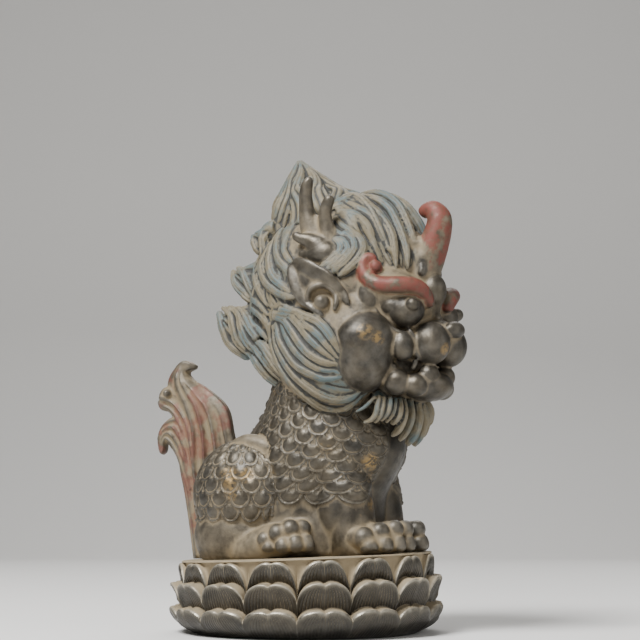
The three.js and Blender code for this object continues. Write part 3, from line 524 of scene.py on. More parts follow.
def hair():
    """The hair: combed low rows, balls that fill it out, the tufts and the strong locks."""
    return (combed(SIDE_BAND_BACK, SIDE_BAND_EAR, 12, 0.6, [1, 0.95, 0.98])
            + combed(RUFF_OUTER, RUFF_INNER, 13, 0.6, [1, 0.93, 0.97, 0.9])
            + combed(FORELOCK_INNER, FORELOCK_OUTER, 12, 0.7, [0.92, 1, 0.95])
            + combed(BACK_SIDE, BACK_MIDDLE, 7, 1.1, [1, 0.9, 0.96])
            + [ball([-12.1, 8, 13.3], [3.2, 1.9, 3.2]), ball([-14, 8.4, -7.5], [3, 1.7, 3.2]),
               ball([6.2, 8.6, 12.8], [3.6, 1.7, 3.4])]
            + tufts() + head_locks())


# Crest rings: height, middle, half length and half width.
CREST_RINGS = np.array([[14, -4, 12.5, 10.5], [19.5, -6, 10.8, 8.8], [22.6, -8, 7.4, 6], [26, -9.6, 4.2, 3.4],
                        [30.15, -11.2, 0.3, 0.3]])
CREST_LOCKS = 11


def crest():
    """A core and fat strands that lean back into one point, and sway on their way up.

    Strand k stands at the angle 2 pi k / count on each oval ring of the crest, and
    sways from it by a sine of its height.
    """
    shares = np.linspace(0, 1, 60)
    height, middle, length, width = spline(CREST_RINGS, shares).T
    length, width = np.maximum(length, 0.3), np.maximum(width, 0.3)
    made = [stacked_ovals(height, middle, 0.86 * length, 0.86 * width, 40)]
    around = math.pi * (length + width) / CREST_LOCKS
    for k in range(CREST_LOCKS):
        turn = 2 * math.pi * k / CREST_LOCKS + 0.5 * shares + 0.16 * np.sin(2 * math.pi * shares + 1.7 * k)
        path = np.stack([middle + 0.82 * length * np.cos(turn), 0.82 * width * np.sin(turn), height], -1)
        out = np.stack([np.cos(turn) / length, np.sin(turn) / width, 0 * turn], -1)
        made.append(tube(path, unit(out), np.maximum(0.54 * around, 0.4), 0.15 * length + 0.4,
                         sides=44, grooves=5, groove=0.2))
    return made


def horn():
    """The single horn: it rises between the brows, and its tip hooks back."""
    path = [[17.6, 0, 2.4], [19.4, 0, 6.4], [20.8, 0, 9.4], [21.7, 0, 11.8], [21.9, 0, 14], [20.6, 0, 15.7],
            [19, 0, 15.7], [18, 0, 14.9]]
    sizes = [3.3, 3.2, 2.9, 2.6, 2.4, 2, 1.6, 1.1]
    return lock(path, sizes, sizes, [10, 0, 10], steps=70, tip=0.08, sides=36)


def horn_root():
    """The dusty root of the horn and the saddle that joins it to the hair."""
    return [lock([[13, 0, -3], [16.6, 0, 2], [19, 0, 6.6], [19.9, 0, 8.6]], [4, 4, 3.5, 2.8],
                 [4, 4, 3.4, 2.8], [10, 0, 10], steps=50, sides=36),
            lock([[11.4, 0, 12], [14.6, 0, 9.8], [17.4, 0, 8.8], [20, 0, 9.4]], [5.6, 5.2, 4.4, 2.4],
                 [3, 2.8, 2.4, 1.6], [10, 0, -10], steps=40, sides=44)]


def antler():
    """A broad leaf-shaped root whose point hooks back and up, and two prongs with a web between them."""
    forms = [
        ([[5, 11.4, 7], [3, 13, 8.4], [1.2, 14.2, 9.7], [-0.4, 15, 10.3], [-1.7, 15.5, 11.2]],
         [2, 2.4, 1.5, 1, 0.8], [1.8, 2.2, 1.5, 1, 0.8]),
        ([[2, 13.2, 7], [0.4, 13.8, 7.1], [-1, 14.3, 7.7]], [1.8, 1.3, 0.5], [1.8, 1.3, 0.5]),
        ([[4, 11.5, 7.8], [2.1, 12.4, 10.2], [0.5, 13, 13.1], [-0.1, 13.2, 16.5], [0.1, 13.6, 20],
          [1.4, 14, 22.4]], [2.4, 2.6, 2, 1.5, 1.25, 1], [1.7, 1.6, 1.5, 1.3, 1.2, 1]),
        ([[5.2, 11.2, 7.4], [4.6, 12, 9.6], [4.2, 12.6, 12.5], [4.2, 13, 15], [5.2, 13.3, 17.1],
          [6.3, 13.4, 17.9]], [2.2, 2, 1.5, 1.25, 1.1, 0.9], [1.7, 1.6, 1.4, 1.2, 1.1, 0.9]),
        ([[3.8, 11.8, 7.6], [2.8, 12.3, 10.4], [2, 12.7, 12.8], [1.8, 13, 15]],
         [2.8, 2.5, 2, 0.9], [0.9, 1, 0.9, 0.5]),
    ]
    made = [lock(*form, [0, 0, 8], tip=0.14, sides=28, steps=50) for form in forms]
    return [ball([3.3, 12.6, 6.9], [4, 2.8, 3.1], around=48)] + made[:2], made[2:]


def on_rays(places, lift, steps=60):
    """A line on the head given as turned and risen degrees: places and slopes."""
    turn, rise = np.radians(np.array(places, float)).T
    rays = np.stack([np.cos(rise) * np.cos(turn), np.cos(rise) * np.sin(turn), np.sin(rise)], -1)
    middle, slope = on_head(spline(rays, np.linspace(0, 1, steps)), lift)
    return even(middle), even(slope, 8)


def laid_lock(places, lift, half_widths, half_depths, tip=0.08, steps=60, **section):
    """A lock whose middle line lies on the head, given as turned and risen degrees."""
    shares = np.linspace(0, 1, steps)
    sizes = (sized(half, shares, tip) for half in (half_widths, half_depths))
    return tube(*on_rays(places, lift, steps), *sizes, **section)


def ear_wall(places, half_widths, half_depths):
    """A slab along the ear's outline that slopes down into its dish, and a foot under its edge.

    The slab's face is turned from the head's slope towards the ear's middle, so that
    the outer edge stands highest.
    """
    shares = np.linspace(0, 1, 80)
    middle, slope = on_rays(places, 0, 80)
    away = middle - on_rays([(75, 2), (75, 0), (75, -2)], 0, 3)[0][1]
    away = unit(away - (away * slope).sum(1, keepdims=True) * slope)
    wide, deep = sized(half_widths, shares, 0.05), sized(half_depths, shares, 0.05)
    slab = middle - away * wide[:, None] * 0.7 + slope * deep[:, None] * 1.1
    return [tube(slab, unit(slope - 0.7 * away), wide, 0.6 * deep, sides=32),
            tube(middle - away * 0.6 + slope * 0.2, slope, 0.5 * wide, 1.5 * deep, sides=24)]


def ear():
    """A leaf with a pointed corner and a hollow dish, and in it a ball in a curled ridge."""
    top = [(98, 21), (91, 19), (84, 17), (76, 14), (67, 10), (61, 3), (56, -5), (53, -12)]
    back = [(97, 21), (95, 10), (92, 0), (87, -9), (79, -15), (70, -19)]
    curl = [(80, -13), (82, -7), (80, -1), (73, 2), (66, 0), (62, -5), (61, -11), (63, -16)]
    knob = on_rays([(72, -10), (71, -11), (70, -12)], 0.8, 3)[0][1]
    dish = on_rays([(90, 9), (87, 7), (84, 5)], 0.1, 3)[0][1]
    leaf = ([ball(dish, [3.1, 1.3, 3.6], around=48)]
            + ear_wall(top, [1.2, 1.7, 1.9, 1.9, 1.8, 1.5, 1.1, 0.6], [0.8, 1, 1.1, 1.1, 1.1, 1, 0.8, 0.5])
            + ear_wall(back, [1.2, 1.5, 1.4, 1.1, 0.8, 0.5], [0.8, 1, 1, 0.9, 0.8, 0.5]))
    ridge = laid_lock(curl, 0.5, [0.4, 0.6, 0.7, 0.7, 0.7, 0.7, 0.6, 0.4],
                      [0.5, 0.9, 1.1, 1.1, 1.1, 1, 0.8, 0.5], sides=24)
    return leaf, [ridge, ball(knob, [1.5, 1.5, 1.5], around=36)]


def brow():
    """A flat thick band over the eye that curls into a spiral at the temple."""
    path = [[21.4, 3, -3.8], [21.3, 3.8, -2.4], [20.9, 5.2, -0.9], [20, 7.1, 0], [18.2, 9.1, 0.1],
            [15.3, 10.6, 0.2], [13.2, 11.2, 1.2], [11.9, 11.3, 2.9], [11.7, 11, 4.9], [12.6, 10.5, 5.8],
            [14.1, 10.3, 5.2]]
    return [lock(path, [0.9, 1.3, 1.6, 1.7, 1.7, 1.6, 1.5, 1.3, 1.1, 0.9, 0.7],
                 [1, 1.5, 1.9, 2, 1.9, 1.8, 1.5, 1.3, 1.2, 1, 0.7], [8, 0, 0], steps=90, sides=28, tip=0.05),
            ball([13.9, 10.2, 3.9], [1.2, 1.3, 1.2], around=28)]


def face():
    """Eye, cheek, nose wing, lips, jowl and the smaller lumps of one side of the face."""
    lumps = [
        ([17.7, 6.4, -4.4], [4.1, 3.4, 3.2]),
        ([15.8, 7.6, -3.6], [3.4, 2.6, 2.3]),
        ([20.8, 8.3, -3.7], [1.3, 1.3, 1.3]),
        ([18, 7.4, -11.2], [2.2, 2.4, 2.8]),
        ([21.6, 3.2, -10.5], [3.8, 3.5, 4.1]),
        ([16.3, 7, -17.8], [2.5, 2.4, 2.5]),
        ([19.1, 4.9, -18.4], [2.5, 2.3, 2.2]),
        ([20.9, 3, -16.4], [2.1, 2, 2.1]),
        ([12.2, 10.4, -1.6], [2.3, 1.9, 3.4]),
    ]
    cheek = [[12, 9.7, -4.2], [11.8, 9.8, -8.6], [11.4, 9.9, -12.2], [11, 9.9, -15.6], [10.8, 9.8, -19.8]]
    ridges = [
        ([[13, 10, -1.4], [13.9, 9.9, -4.6], [15.6, 9.5, -6.8], [17.4, 8.7, -8.4], [19.2, 7, -8.8]],
         0.4, 0.9),
        ([[18.6, 6.6, -7.6], [19.4, 6.4, -9.4], [19.6, 6, -11.8], [20.4, 5, -13.8]], 0.5, 0.9),
        ([[18.2, 1.6, 7.4], [19.2, 2.4, 5.6], [19.6, 2.8, 3.6], [19, 3.2, 2.6]], 0.9, 1),
        ([[7.9, 12, 1], [8.6, 12, -1.2], [9.6, 11.8, -3.4]], 1.1, 1),
        ([[17.4, 7, -18.6], [19, 5.8, -19], [20.4, 4.4, -17.8], [21.2, 3, -15.9]], 1, 1),
        ([[15.9, 7.6, -16.4], [15.9, 7.8, -15], [16.2, 7.8, -14.2]], 0.9, 0.9),
        ([[19.8, 5.7, -13.6], [19.4, 5.7, -14.7], [18.7, 5.5, -15.6]], 0.5, 0.6),
    ]
    size = np.array([0.6, 1, 1, 0.6])
    return ([ball(centre, radii, around=48) for centre, radii in lumps]
            + [lock(cheek, [6.2, 6.7, 6, 5.6, 5.2], [5.6, 5.8, 5.3, 5.1, 4.9], [0, 9.8, -12], steps=60,
                    tip=0.36, sides=64)]
            + [lock(path, size * width, size * depth, [8, 0, -6], tip=0.12, sides=24)
               for path, width, depth in ridges])


def snout():
    """The snout, the tip of the nose, its bridge, the lower jaw and the throat."""
    return [
        ball([17.4, 0, -9.8], [6.8, 6.6, 4.1], around=60),
        ball([20.6, 0, -8], [4.2, 3.4, 2.4], around=40),
        ball([25, 0, -7.9], [1.7, 2.6, 1.6]),
        ball([20.4, 0, 0], [2.6, 2.6, 3.4]),
        lock([[21, 0, -2], [20.8, 0, -4.4], [21.8, 0, -6.4]], [0.9, 0.6, 0.5], [1.4, 1, 0.9], [10, 0, -4]),
        ball([18.8, 0, -18.2], [5, 5.4, 3], around=56),
        ball([13.4, 0, -15.4], [4.8, 7.4, 6], around=56),
    ]


# Strands of the beard, jaw first, [forward, left, up].
BEARD = [
    [[13.2, 9.5, -20.5], [11.5, 10.3, -22.4], [9.2, 10.2, -23.4]],
    [[13.3, 8.5, -20.4], [13.4, 9.2, -22.2], [13.1, 9.4, -23.9], [11.9, 9.2, -24.9], [10.1, 8.8, -25.2]],
    [[13.7, 7.6, -20.6], [13.8, 8.4, -22.9], [13.6, 8.8, -24.2], [12.4, 8.6, -25.4]],
    [[14.2, 6.4, -20.6], [14.4, 7.4, -23.2], [13.2, 7.8, -25.1]],
    [[14.7, 5.2, -20.6], [14.7, 6.2, -23.6], [13.6, 6.6, -25.4]],
    [[14.8, 4.2, -20.6], [15.2, 5, -23.9], [14.1, 5.4, -25.7]],
    [[15.1, 3.2, -20.6], [15.8, 3.8, -23.8], [15, 4.4, -26.6], [13.6, 4.8, -27.8]],
    [[15.8, 1.8, -20.8], [16.4, 2.4, -24.2], [15.4, 2.8, -27.2], [14.2, 3, -28.6]],
    [[16.4, 0.5, -21], [16.8, 0.8, -24.6], [16, 1, -27.6], [14.8, 1.2, -29.4]],
]


def beard():
    """Pointed strands that fan down from the lower jaw onto the chest."""
    made = []
    for k, path in enumerate(BEARD):
        size = 0.6 if k == 0 else 1 + 0.18 * math.cos(2.4 * k)
        made.append(lock(path, size * np.array([0.5, 0.6, 0.52, 0.3]), size * np.array([1.1, 1.4, 1.1, 0.5]),
                         [6, 0, -20], sides=28, steps=50, tip=0.03))
    return made


def head_to_body(points):
    """From the head's frame to the body's: turned about +Z, then moved onto the neck."""
    x, y, z, across = points.T
    return np.column_stack([np.stack([*turned(x, y, HEAD_TURN), z], -1) + HEAD_PLACE, across])


# What each form is finished with: red paint, hair, bare metal, and its scales,
# where 1 stands for the trunk's and 0.5 for a haunch's.
PLAIN = (0, 0, 0.3, 0)
DUSTY = (0, 0, 0, 0)
PRONG = (0, 0, 0.12, 0)
BARE = (0, 0, 1, 0)
RED = (1, 0, 0.05, 0)
HAIR = (0, 1, 0, 0)
TAIL = (0.6, 0, 0, 0)
TRUNK_FINISH = (0, 0, 0.5, 1)
HAUNCH_FINISH = (0, 0, 0.5, 0.5)


def figure_forms():
    """Every closed form of the figure in the body's frame, each with its finish.

    Paired forms are drawn on the left side, and their mirror images stand on the right.
    """
    def all_in(finish, *forms):
        """The forms with one finish for all."""
        return [(form, finish) for form in forms]

    def paired(forms):
        """The forms of the left side, and their mirror images."""
        return forms + [(mirror_image(form), finish) for form, finish in forms]

    leaf, curl = ear()
    root, prongs = antler()
    haunch = [ball(HAUNCH_PLACE, HAUNCH_RADII, around=80), ball([-10.4, 8.6, 4], [9.5, 6.5, 8], around=64)]
    forehead = ball([12.8, 5.4, -0.6], [6.8, 5.8, 5.6], around=64)
    under_beard = ball([11.4, 0, -20.4], [2.4, 7, 2.6], around=48)
    masses = [ball(place, radii, around=80) for place, radii in HEAD_MASSES]
    body = (all_in(TRUNK_FINISH, trunk(), *spine_knobs()) + all_in(TAIL, *tail())
            + paired(all_in(HAUNCH_FINISH, *haunch) + all_in(TRUNK_FINISH, *foreleg())
                     + all_in(PLAIN, *forepaw(), *hind_foot()) + all_in(DUSTY, haunch_rib())))
    head = (all_in(DUSTY, *masses, *horn_root()) + all_in(BARE, *snout())
            + all_in(HAIR, *crest(), under_beard) + all_in(RED, horn())
            + paired(all_in(HAIR, *beard(), *hair()) + all_in(RED, *brow())
                     + all_in(BARE, *root, *leaf, *face()) + all_in(PRONG, *prongs)
                     + all_in(DUSTY, *curl, forehead)))
    return body + [((head_to_body(points), faces), finish) for (points, faces), finish in head]


# Meshes.

def mesh_of(name, points, triangles):
    """A mesh from whole arrays of points and triangles."""
    mesh = bpy.data.meshes.new(name)
    mesh.vertices.add(len(points))
    mesh.vertices.foreach_set("co", np.asarray(points, np.float32).ravel())
    mesh.loops.add(triangles.size)
    mesh.loops.foreach_set("vertex_index", np.asarray(triangles, np.int32).ravel())
    mesh.polygons.add(len(triangles))
    mesh.polygons.foreach_set("loop_start", np.arange(0, triangles.size, 3, dtype=np.int32))
    mesh.update(calc_edges=True)
    mesh.validate()
    return mesh


def object_of(mesh):
    """A mesh put into the scene at the origin."""
    piece = bpy.data.objects.new(mesh.name, mesh)
    bpy.context.scene.collection.objects.link(piece)
    return piece


def finished(piece):
    """The piece's mesh with its modifiers worked in; the piece itself is taken away."""
    graph = bpy.context.evaluated_depsgraph_get()
    mesh = bpy.data.meshes.new_from_object(piece.evaluated_get(graph))
    bpy.data.objects.remove(piece)
    return mesh


def read(data, name, width, kind=np.float32):
    """One property of every element, as an array of rows."""
    values = np.empty(len(data) * width, kind)
    data.foreach_get(name, values)
    return values.reshape(-1, width)


def paint(mesh, name, values):
    """Four values at each point, kept under a name for the materials to read."""
    layer = mesh.attributes.get(name) or mesh.attributes.new(name, "FLOAT_COLOR", "POINT")
    layer.data.foreach_set("color", np.asarray(values, np.float32).ravel())


def moved(mesh, points):
    """Puts a mesh's points in new places, and returns its normals there."""
    mesh.vertices.foreach_set("co", np.asarray(points, np.float32).ravel())
    mesh.update()
    return read(mesh.vertex_normals, "vector", 3).astype(float)


def relaxed(values, edges, rounds, share=0.5):
    """Values drawn towards their neighbours' mean, round after round.

    The mean is the sum over the edges at a point, divided by their number.
    """
    count, (start, end) = len(values), edges.T
    degree = np.maximum(np.bincount(edges.ravel(), minlength=count), 1)[:, None]
    for _ in range(rounds):
        total = np.stack([np.bincount(start, column[end], count) + np.bincount(end, column[start], count)
                          for column in values.T], -1)
        values = values + share * (total / degree - values)
    return values


def fused(forms):
    """One closed skin over all the forms, from a fine grid of cells.

    Each point takes the finish of the nearest form.
    """
    counts = np.cumsum([0] + [len(points) for (points, _), _ in forms])
    points, across = np.split(np.vstack([points for (points, _), _ in forms]), [3], axis=1)
    faces = np.vstack([faces + start for ((_, faces), _), start in zip(forms, counts)])
    loose = object_of(mesh_of("loose_forms", points, faces))
    finishes = np.vstack([np.tile(finish, (len(points), 1)) for (points, _), finish in forms])
    paint(loose.data, "paint", finishes)
    paint(loose.data, "strand", np.hstack([across, 0 * points]))

    whole = object_of(loose.data.copy())
    remesh = whole.modifiers.new("fuse", "REMESH")
    remesh.mode = "VOXEL"
    remesh.voxel_size = VOXEL
    remesh.adaptivity = 0
    whole = object_of(finished(whole))
    for layer in ("paint", "strand"):
        if layer in whole.data.attributes:
            whole.data.attributes.remove(whole.data.attributes[layer])
        whole.data.attributes.new(layer, "FLOAT_COLOR", "POINT")
    carry = whole.modifiers.new("carry", "DATA_TRANSFER")
    carry.object = loose
    carry.use_vert_data = True
    carry.data_types_verts = {"COLOR_VERTEX"}
    carry.vert_mapping = "NEAREST"
    carry.layers_vcol_vert_select_src = "ALL"
    carry.layers_vcol_vert_select_dst = "NAME"
    mesh = finished(whole)
    bpy.data.objects.remove(loose)
    return mesh


def plate(edge):
    """Height of a plate by the distance in from its edge: a thin border, a groove, a swelling face."""
    return (0.11 * np.exp(-((edge - 0.16) / 0.12) ** 2) - 0.15 * np.exp(-((edge - 0.44) / 0.16) ** 2)
            + 0.27 * np.clip((edge - 0.44) / 1.2, 0, 1))


def shingles(place, up, pitch, row):
    """Height of round scales that lap like tiles, zero below the row at height zero.

    place counts scales along a row, pitch is their width there and up the height.
    Row j hangs in half discs from centres that stand half a scale apart from row to
    row, and the highest disc over a point lies on top. A small round plate hangs on
    each scale from the cleft between the two above it.
    """
    radius = pitch / 2
    owner = np.floor(up / row)

    def cell(level):
        """The place in millimetres from the nearest centre of a row."""
        shift = 0.5 * np.mod(level, 2)
        return (place - np.round(place - shift) - shift) * pitch, up - level * row
    x, z = cell(owner)
    level = owner
    for above in (1, 2):
        x_above, z_above = cell(owner + above)
        over = np.hypot(x_above, z_above) < radius
        x, z = np.where(over, x_above, x), np.where(over, z_above, z)
        level = np.where(over, owner + above, level)
    edge = radius - np.hypot(x, np.minimum(z, 0))
    thick = 0.05 + 0.42 * np.clip(1 - (z + radius) / (row + radius), 0, 1)
    small = 0.35 * radius - np.hypot(x, z - row + 0.54 * radius)
    face = np.where(small > 0, 0.1 + 0.7 * plate(small), plate(edge))
    return np.where(level >= 0, thick + face, 0)


def scale_relief(points, normals, trunk_part, haunch_part):
    """Height of the carved scales over the trunk and the haunches, zero elsewhere.

    Round the trunk the scales are counted by their number times the turn, less the
    growth times its sine, which makes them largest on the chest. Their rows dip
    towards the chest. The belly is plain, and so is whatever doesn't face away from
    the trunk's middle.
    """
    x, y, z = points.T
    middle, length, width = trunk_section(z)
    turn = np.arctan2(y / width, (x - middle) / length)
    count = TRUNK_SCALES / (2 * math.pi)
    place = count * turn - CHEST_GROWTH * np.sin(turn)
    arc = np.hypot(length * np.sin(turn), width * np.cos(turn))
    dip = 0.3 * np.clip((z - 10.5) / 15, 0, 1)
    up = z + dip * (x - middle) - LOWEST_ROW
    on_trunk = shingles(place, up, arc / (count - CHEST_GROWTH * np.cos(turn)), TRUNK_ROW)
    belly = BELLY * np.clip((34 - z) / 10, 0.3, 1) * np.clip(1.6 - (z - 11) / 6, 1, 1.6)
    outward = (normals[:, 0] * (x - middle) + normals[:, 1] * y) / (np.hypot(x - middle, y) + 1e-6)
    on_trunk = on_trunk * np.clip((np.abs(turn) - belly) / 0.07, 0, 1) * np.clip((outward - 0.1) / 0.25, 0, 1)
    beside = np.abs(y) - HAUNCH_PLACE[1]
    around = np.arctan2((x - HAUNCH_PLACE[0]) / HAUNCH_RADII[0], beside / HAUNCH_RADII[1])
    place = around * HAUNCH_RADII[0] / HAUNCH_PITCH
    on_haunch = shingles(place, z - LOWEST_HAUNCH_ROW, HAUNCH_PITCH + 0 * z, HAUNCH_ROW)
    return on_trunk * trunk_part + on_haunch * haunch_part


@contextmanager
def editing(mesh):
    """A mesh opened for cutting and deleting, and written back afterwards."""
    work = bmesh.new()
    work.from_mesh(mesh)
    yield work
    work.to_mesh(mesh)
    work.free()


def cut_level(mesh, place, normal):
    """Cuts off what lies below a plane and closes the cut."""
    with editing(mesh) as work:
        everything = work.verts[:] + work.edges[:] + work.faces[:]
        bmesh.ops.bisect_plane(work, geom=everything, plane_co=place, plane_no=normal, clear_inner=True)
        rim = [edge for edge in work.edges if edge.is_boundary]
        bmesh.ops.holes_fill(work, edges=rim, sides=0)
        bmesh.ops.triangulate(work, faces=[face for face in work.faces if len(face.verts) > 4])


def without_specks(mesh):
    """Takes out the loose specks and keeps the largest part that hangs together.

    Every vertex takes the lowest number among its neighbours, again and again, until
    each part has one number. The part with the most vertices stays.
    """
    edges = read(mesh.edges, "vertices", 2, np.int32)
    part, before = np.arange(len(mesh.vertices)), None
    while before is None or (part != before).any():
        before = part.copy()
        lowest = part[edges].min(1)
        for end in edges.T:
            np.minimum.at(part, end, lowest)
        part = part[part]
    with editing(mesh) as work:
        work.verts.ensure_lookup_table()
        specks = [work.verts[i] for i in np.flatnonzero(part != np.bincount(part).argmax())]
        bmesh.ops.delete(work, geom=specks, context="VERTS")


def hollows(points, normals, edges):
    """How deep each point lies in a hollow, at a fine and at a wide reach.

    The measure is the distance along the normal to the place that the point takes
    when the skin is relaxed a few rounds, or many.
    """
    fine = relaxed(points, edges, 3)
    wide = relaxed(fine, edges, 22)
    return [((soft - points) * normals).sum(1) for soft in (fine, wide)]


def filleted(points, normals, edges, kind):
    """Points with the seams between the forms filled softly, outside the hair.

    A point moves to the place that 16 rounds of relaxing give it. Its share of that
    move is the rise of the place over the skin, divided by 0.08 mm, between 0 and 1.
    """
    soft = relaxed(points, edges, 16)
    rise = ((soft - points) * normals).sum(1, keepdims=True)
    share = relaxed(np.clip(rise / 0.08, 0, 1), edges, 3) * relaxed(1 - kind[:, 1:2], edges, 4)
    return points + (soft - points) * share


def qilin():
    """The figure: forms fused, softened, carved with scales and set on the seat."""
    mesh = fused(figure_forms())
    points = read(mesh.vertices, "co", 3).astype(float)
    edges = read(mesh.edges, "vertices", 2, np.int32)
    kind = read(mesh.attributes["paint"].data, "color", 4).astype(float)
    for share in (0.5, -0.52, 0.5, -0.52):  # smoothed, and swollen back each time
        points = relaxed(points, edges, 1, share)
    normals = read(mesh.vertex_normals, "vector", 3).astype(float)
    points = filleted(points, normals, edges, kind)
    normals = moved(mesh, points)
    scaled = kind[:, 3:4]
    trunk_part, haunch_part = (relaxed(part.astype(float), edges, 3)[:, 0]
                               for part in (scaled > 0.75, (scaled > 0.25) & (scaled < 0.75)))
    points += normals * scale_relief(points, normals, trunk_part, haunch_part)[:, None]
    normals = moved(mesh, points)
    low = np.clip((11 - points[:, 2]) / 9, 0, 1)  # one about the feet, zero above the paws
    paint(mesh, "paint", relaxed(kind, edges, 2))
    paint(mesh, "form", np.stack([*hollows(points, normals, edges), normals[:, 2], low], -1))

    moved(mesh, points * FIGURE_SHARE + [0, 0, BASE_HEIGHT])
    slope = -math.sin(TOP_LEAN)
    lean = (slope * math.cos(LEAN_HEADING), slope * math.sin(LEAN_HEADING), math.cos(TOP_LEAN))
    cut_level(mesh, (0, 0, BASE_HEIGHT + SEAT_GAP), lean)
    piece = object_of(mesh)
    triangles = sum(len(face.vertices) - 2 for face in mesh.polygons)
    piece.modifiers.new("thin", "DECIMATE").ratio = min(1.0, MOST_TRIANGLES / triangles)
    mesh = finished(piece)
    without_specks(mesh)
    return named(mesh, "qilin_casting")


def named(mesh, name):
    """A finished mesh as a smooth-shaded piece at the origin, turned from millimetres to metres."""
    moved(mesh, read(mesh.vertices, "co", 3) * MM)
    mesh.name = name
    mesh.polygons.foreach_set("use_smooth", np.ones(len(mesh.polygons), bool))
    return object_of(mesh)


# The base. Each row of petals: heights of its lobes, notch and valley as shares.
PETAL_ROWS = [(0.355, 0.32, 0.225), (0.69, 0.655, 0.45), (0.955, 0.932, 0.52)]
COLUMNS_PER_PETAL = 72
FAN_LINES = 15
PETAL_BULGE = 1.0
WAIST_RADIUS = 24.5
DRUM_RADIUS = 23.9


def lip_height(row, across):
    """Height of a row's lip: a broad arch that drops at both sides, with a notch in its middle."""
    lobe, notch, valley = row
    arch = valley + (lobe - valley) * np.clip(1 - np.abs(across) ** 3, 0, 1) ** 0.6
    return (arch - (lobe - notch) * np.exp(-((np.abs(across) / 0.12) ** 1.3))) * BASE_HEIGHT


def petal_columns(across):
    """Radius, height and finish up the base, for each place across a petal.

    A petal climbs from its root with a swelling belly and flares into a rounded lip,
    and a ledge leads in to the next root. The finish is (lip, ledge), each between
    0 and 1; the lip share lays a painted highlight and wear on the lip. Fine fan
    lines are cut into the faces. They run like the meridians of a globe, from the
    root towards the notch.
    """
    bulge = PETAL_BULGE * np.abs(across) ** 4
    one, rows = np.ones_like(across), []

    def petal(lip, lobe, root_radius, root_height, lip_radius, steps, belly, flare):
        """The face from root to lip, with the belly as a sine of the share, and the rounded lip."""
        for share in 1 - (1 - np.linspace(0, 1, steps, endpoint=False)) ** 1.3:
            z = root_height + (lip - root_height) * share
            rise = np.clip((z - root_height) / (lobe * BASE_HEIGHT - root_height), 0, 1)
            fan = across / np.sqrt(1 - 0.86 * rise**2)
            line = np.abs(np.sin(math.pi * FAN_LINES / 2 * fan)) ** 0.8
            inside = np.clip((0.98 - np.abs(fan)) / 0.1, 0, 1) * min(share / 0.08, (1 - share) / 0.08, 1)
            crease = 0.22 * np.exp(-((across / 0.09) ** 2)) * share**2
            swell = belly * math.sin(math.pi * share) ** 0.7
            r = root_radius + (lip_radius - root_radius) * share**flare + swell
            rows.append((r - 0.17 * (1 - line) * inside - crease, z, share**14 * one, 0 * one))
        for turn in (0, 50, 100):
            c, t = math.cos(turn * DEGREE), math.sin(turn * DEGREE)
            rows.append((lip_radius - 0.28 * (1 - c), lip + 0.26 * t, one, (turn / 120) * one))
        return lip_radius - 0.3, lip + 0.3

    def ledge(start, radius, height, steps):
        """The way in from a lip to the next root, rising by the share to the power of 1.5."""
        for share in np.linspace(0.2, 0.98, steps):
            rows.append((start[0] + (radius - start[0]) * share,
                         start[1] + (height - start[1]) * share**1.5, 0.2 * one, one))

    low, middle, high = (lip_height(row, across) for row in PETAL_ROWS)
    lobes = [row[0] for row in PETAL_ROWS]
    outer = BASE_RADIUS - 0.15 - bulge
    waist, drum = WAIST_RADIUS - bulge / 2, DRUM_RADIUS + 0.1 * one
    end = petal(low, lobes[0], FOOT_RADIUS * one, 0 * one, outer, 20, 1.4, 1.0)
    ledge(end, waist, low + 0.55, 3)
    end = petal(middle, lobes[1], waist, low + 0.55, outer, 23, 0.5, 2.1)
    ledge(end, drum, middle + 0.5, 3)
    end = petal(high, lobes[2], drum, middle + 0.5, 25.1 - 0.6 * bulge, 20, 0.45, 0.9)
    ledge(end, DRUM_RADIUS * one, high + 0.34, 2)
    for r, below in ((DRUM_RADIUS, 0.36), (SEAT_RADIUS - 0.06, 0.32), (SEAT_RADIUS, 0.2),
                     (SEAT_RADIUS - 0.06, 0.05), (SEAT_RADIUS - 0.25, 0)):
        rows.append((r * one, (BASE_HEIGHT - below) * one, 0.3 * one, one))
    return (np.stack(column) for column in zip(*rows))


def lotus_base():
    """The base: the petal columns stood round the axis, its top sheared to the lean."""
    step = 2 * math.pi / PETAL_COUNT
    j = np.arange(PETAL_COUNT * COLUMNS_PER_PETAL)
    angle = FIRST_PETAL + (j / COLUMNS_PER_PETAL - 0.5) * step
    across = 2 * (j % COLUMNS_PER_PETAL) / COLUMNS_PER_PETAL - 1
    radius, height, lip, ledge = petal_columns(across)
    x, y = radius * np.cos(angle), radius * np.sin(angle)
    downhill = x * math.cos(LEAN_HEADING) + y * math.sin(LEAN_HEADING)
    z = height * (1 + downhill * math.tan(TOP_LEAN) / BASE_HEIGHT)
    points, triangles = skin(np.stack([x, y, z], -1))
    points = points[:, :3]
    mesh = mesh_of("lotus", points, triangles)
    edges = read(mesh.edges, "vertices", 2, np.int32)
    normals = read(mesh.vertex_normals, "vector", 3).astype(float)
    fine, wide = hollows(points, normals, edges)
    none = 0 * fine
    lip, ledge = np.append(lip.ravel(), [0, 0]), np.append(ledge.ravel(), [0, 1])
    paint(mesh, "paint", np.stack([none, lip, none, ledge], -1))
    paint(mesh, "form", np.stack([np.clip(fine, -0.3, 0.3), np.clip(wide, -0.5, 0.5), normals[:, 2],
                                  none + 1], -1))
    return named(mesh, "lotus_casting")


# Materials.

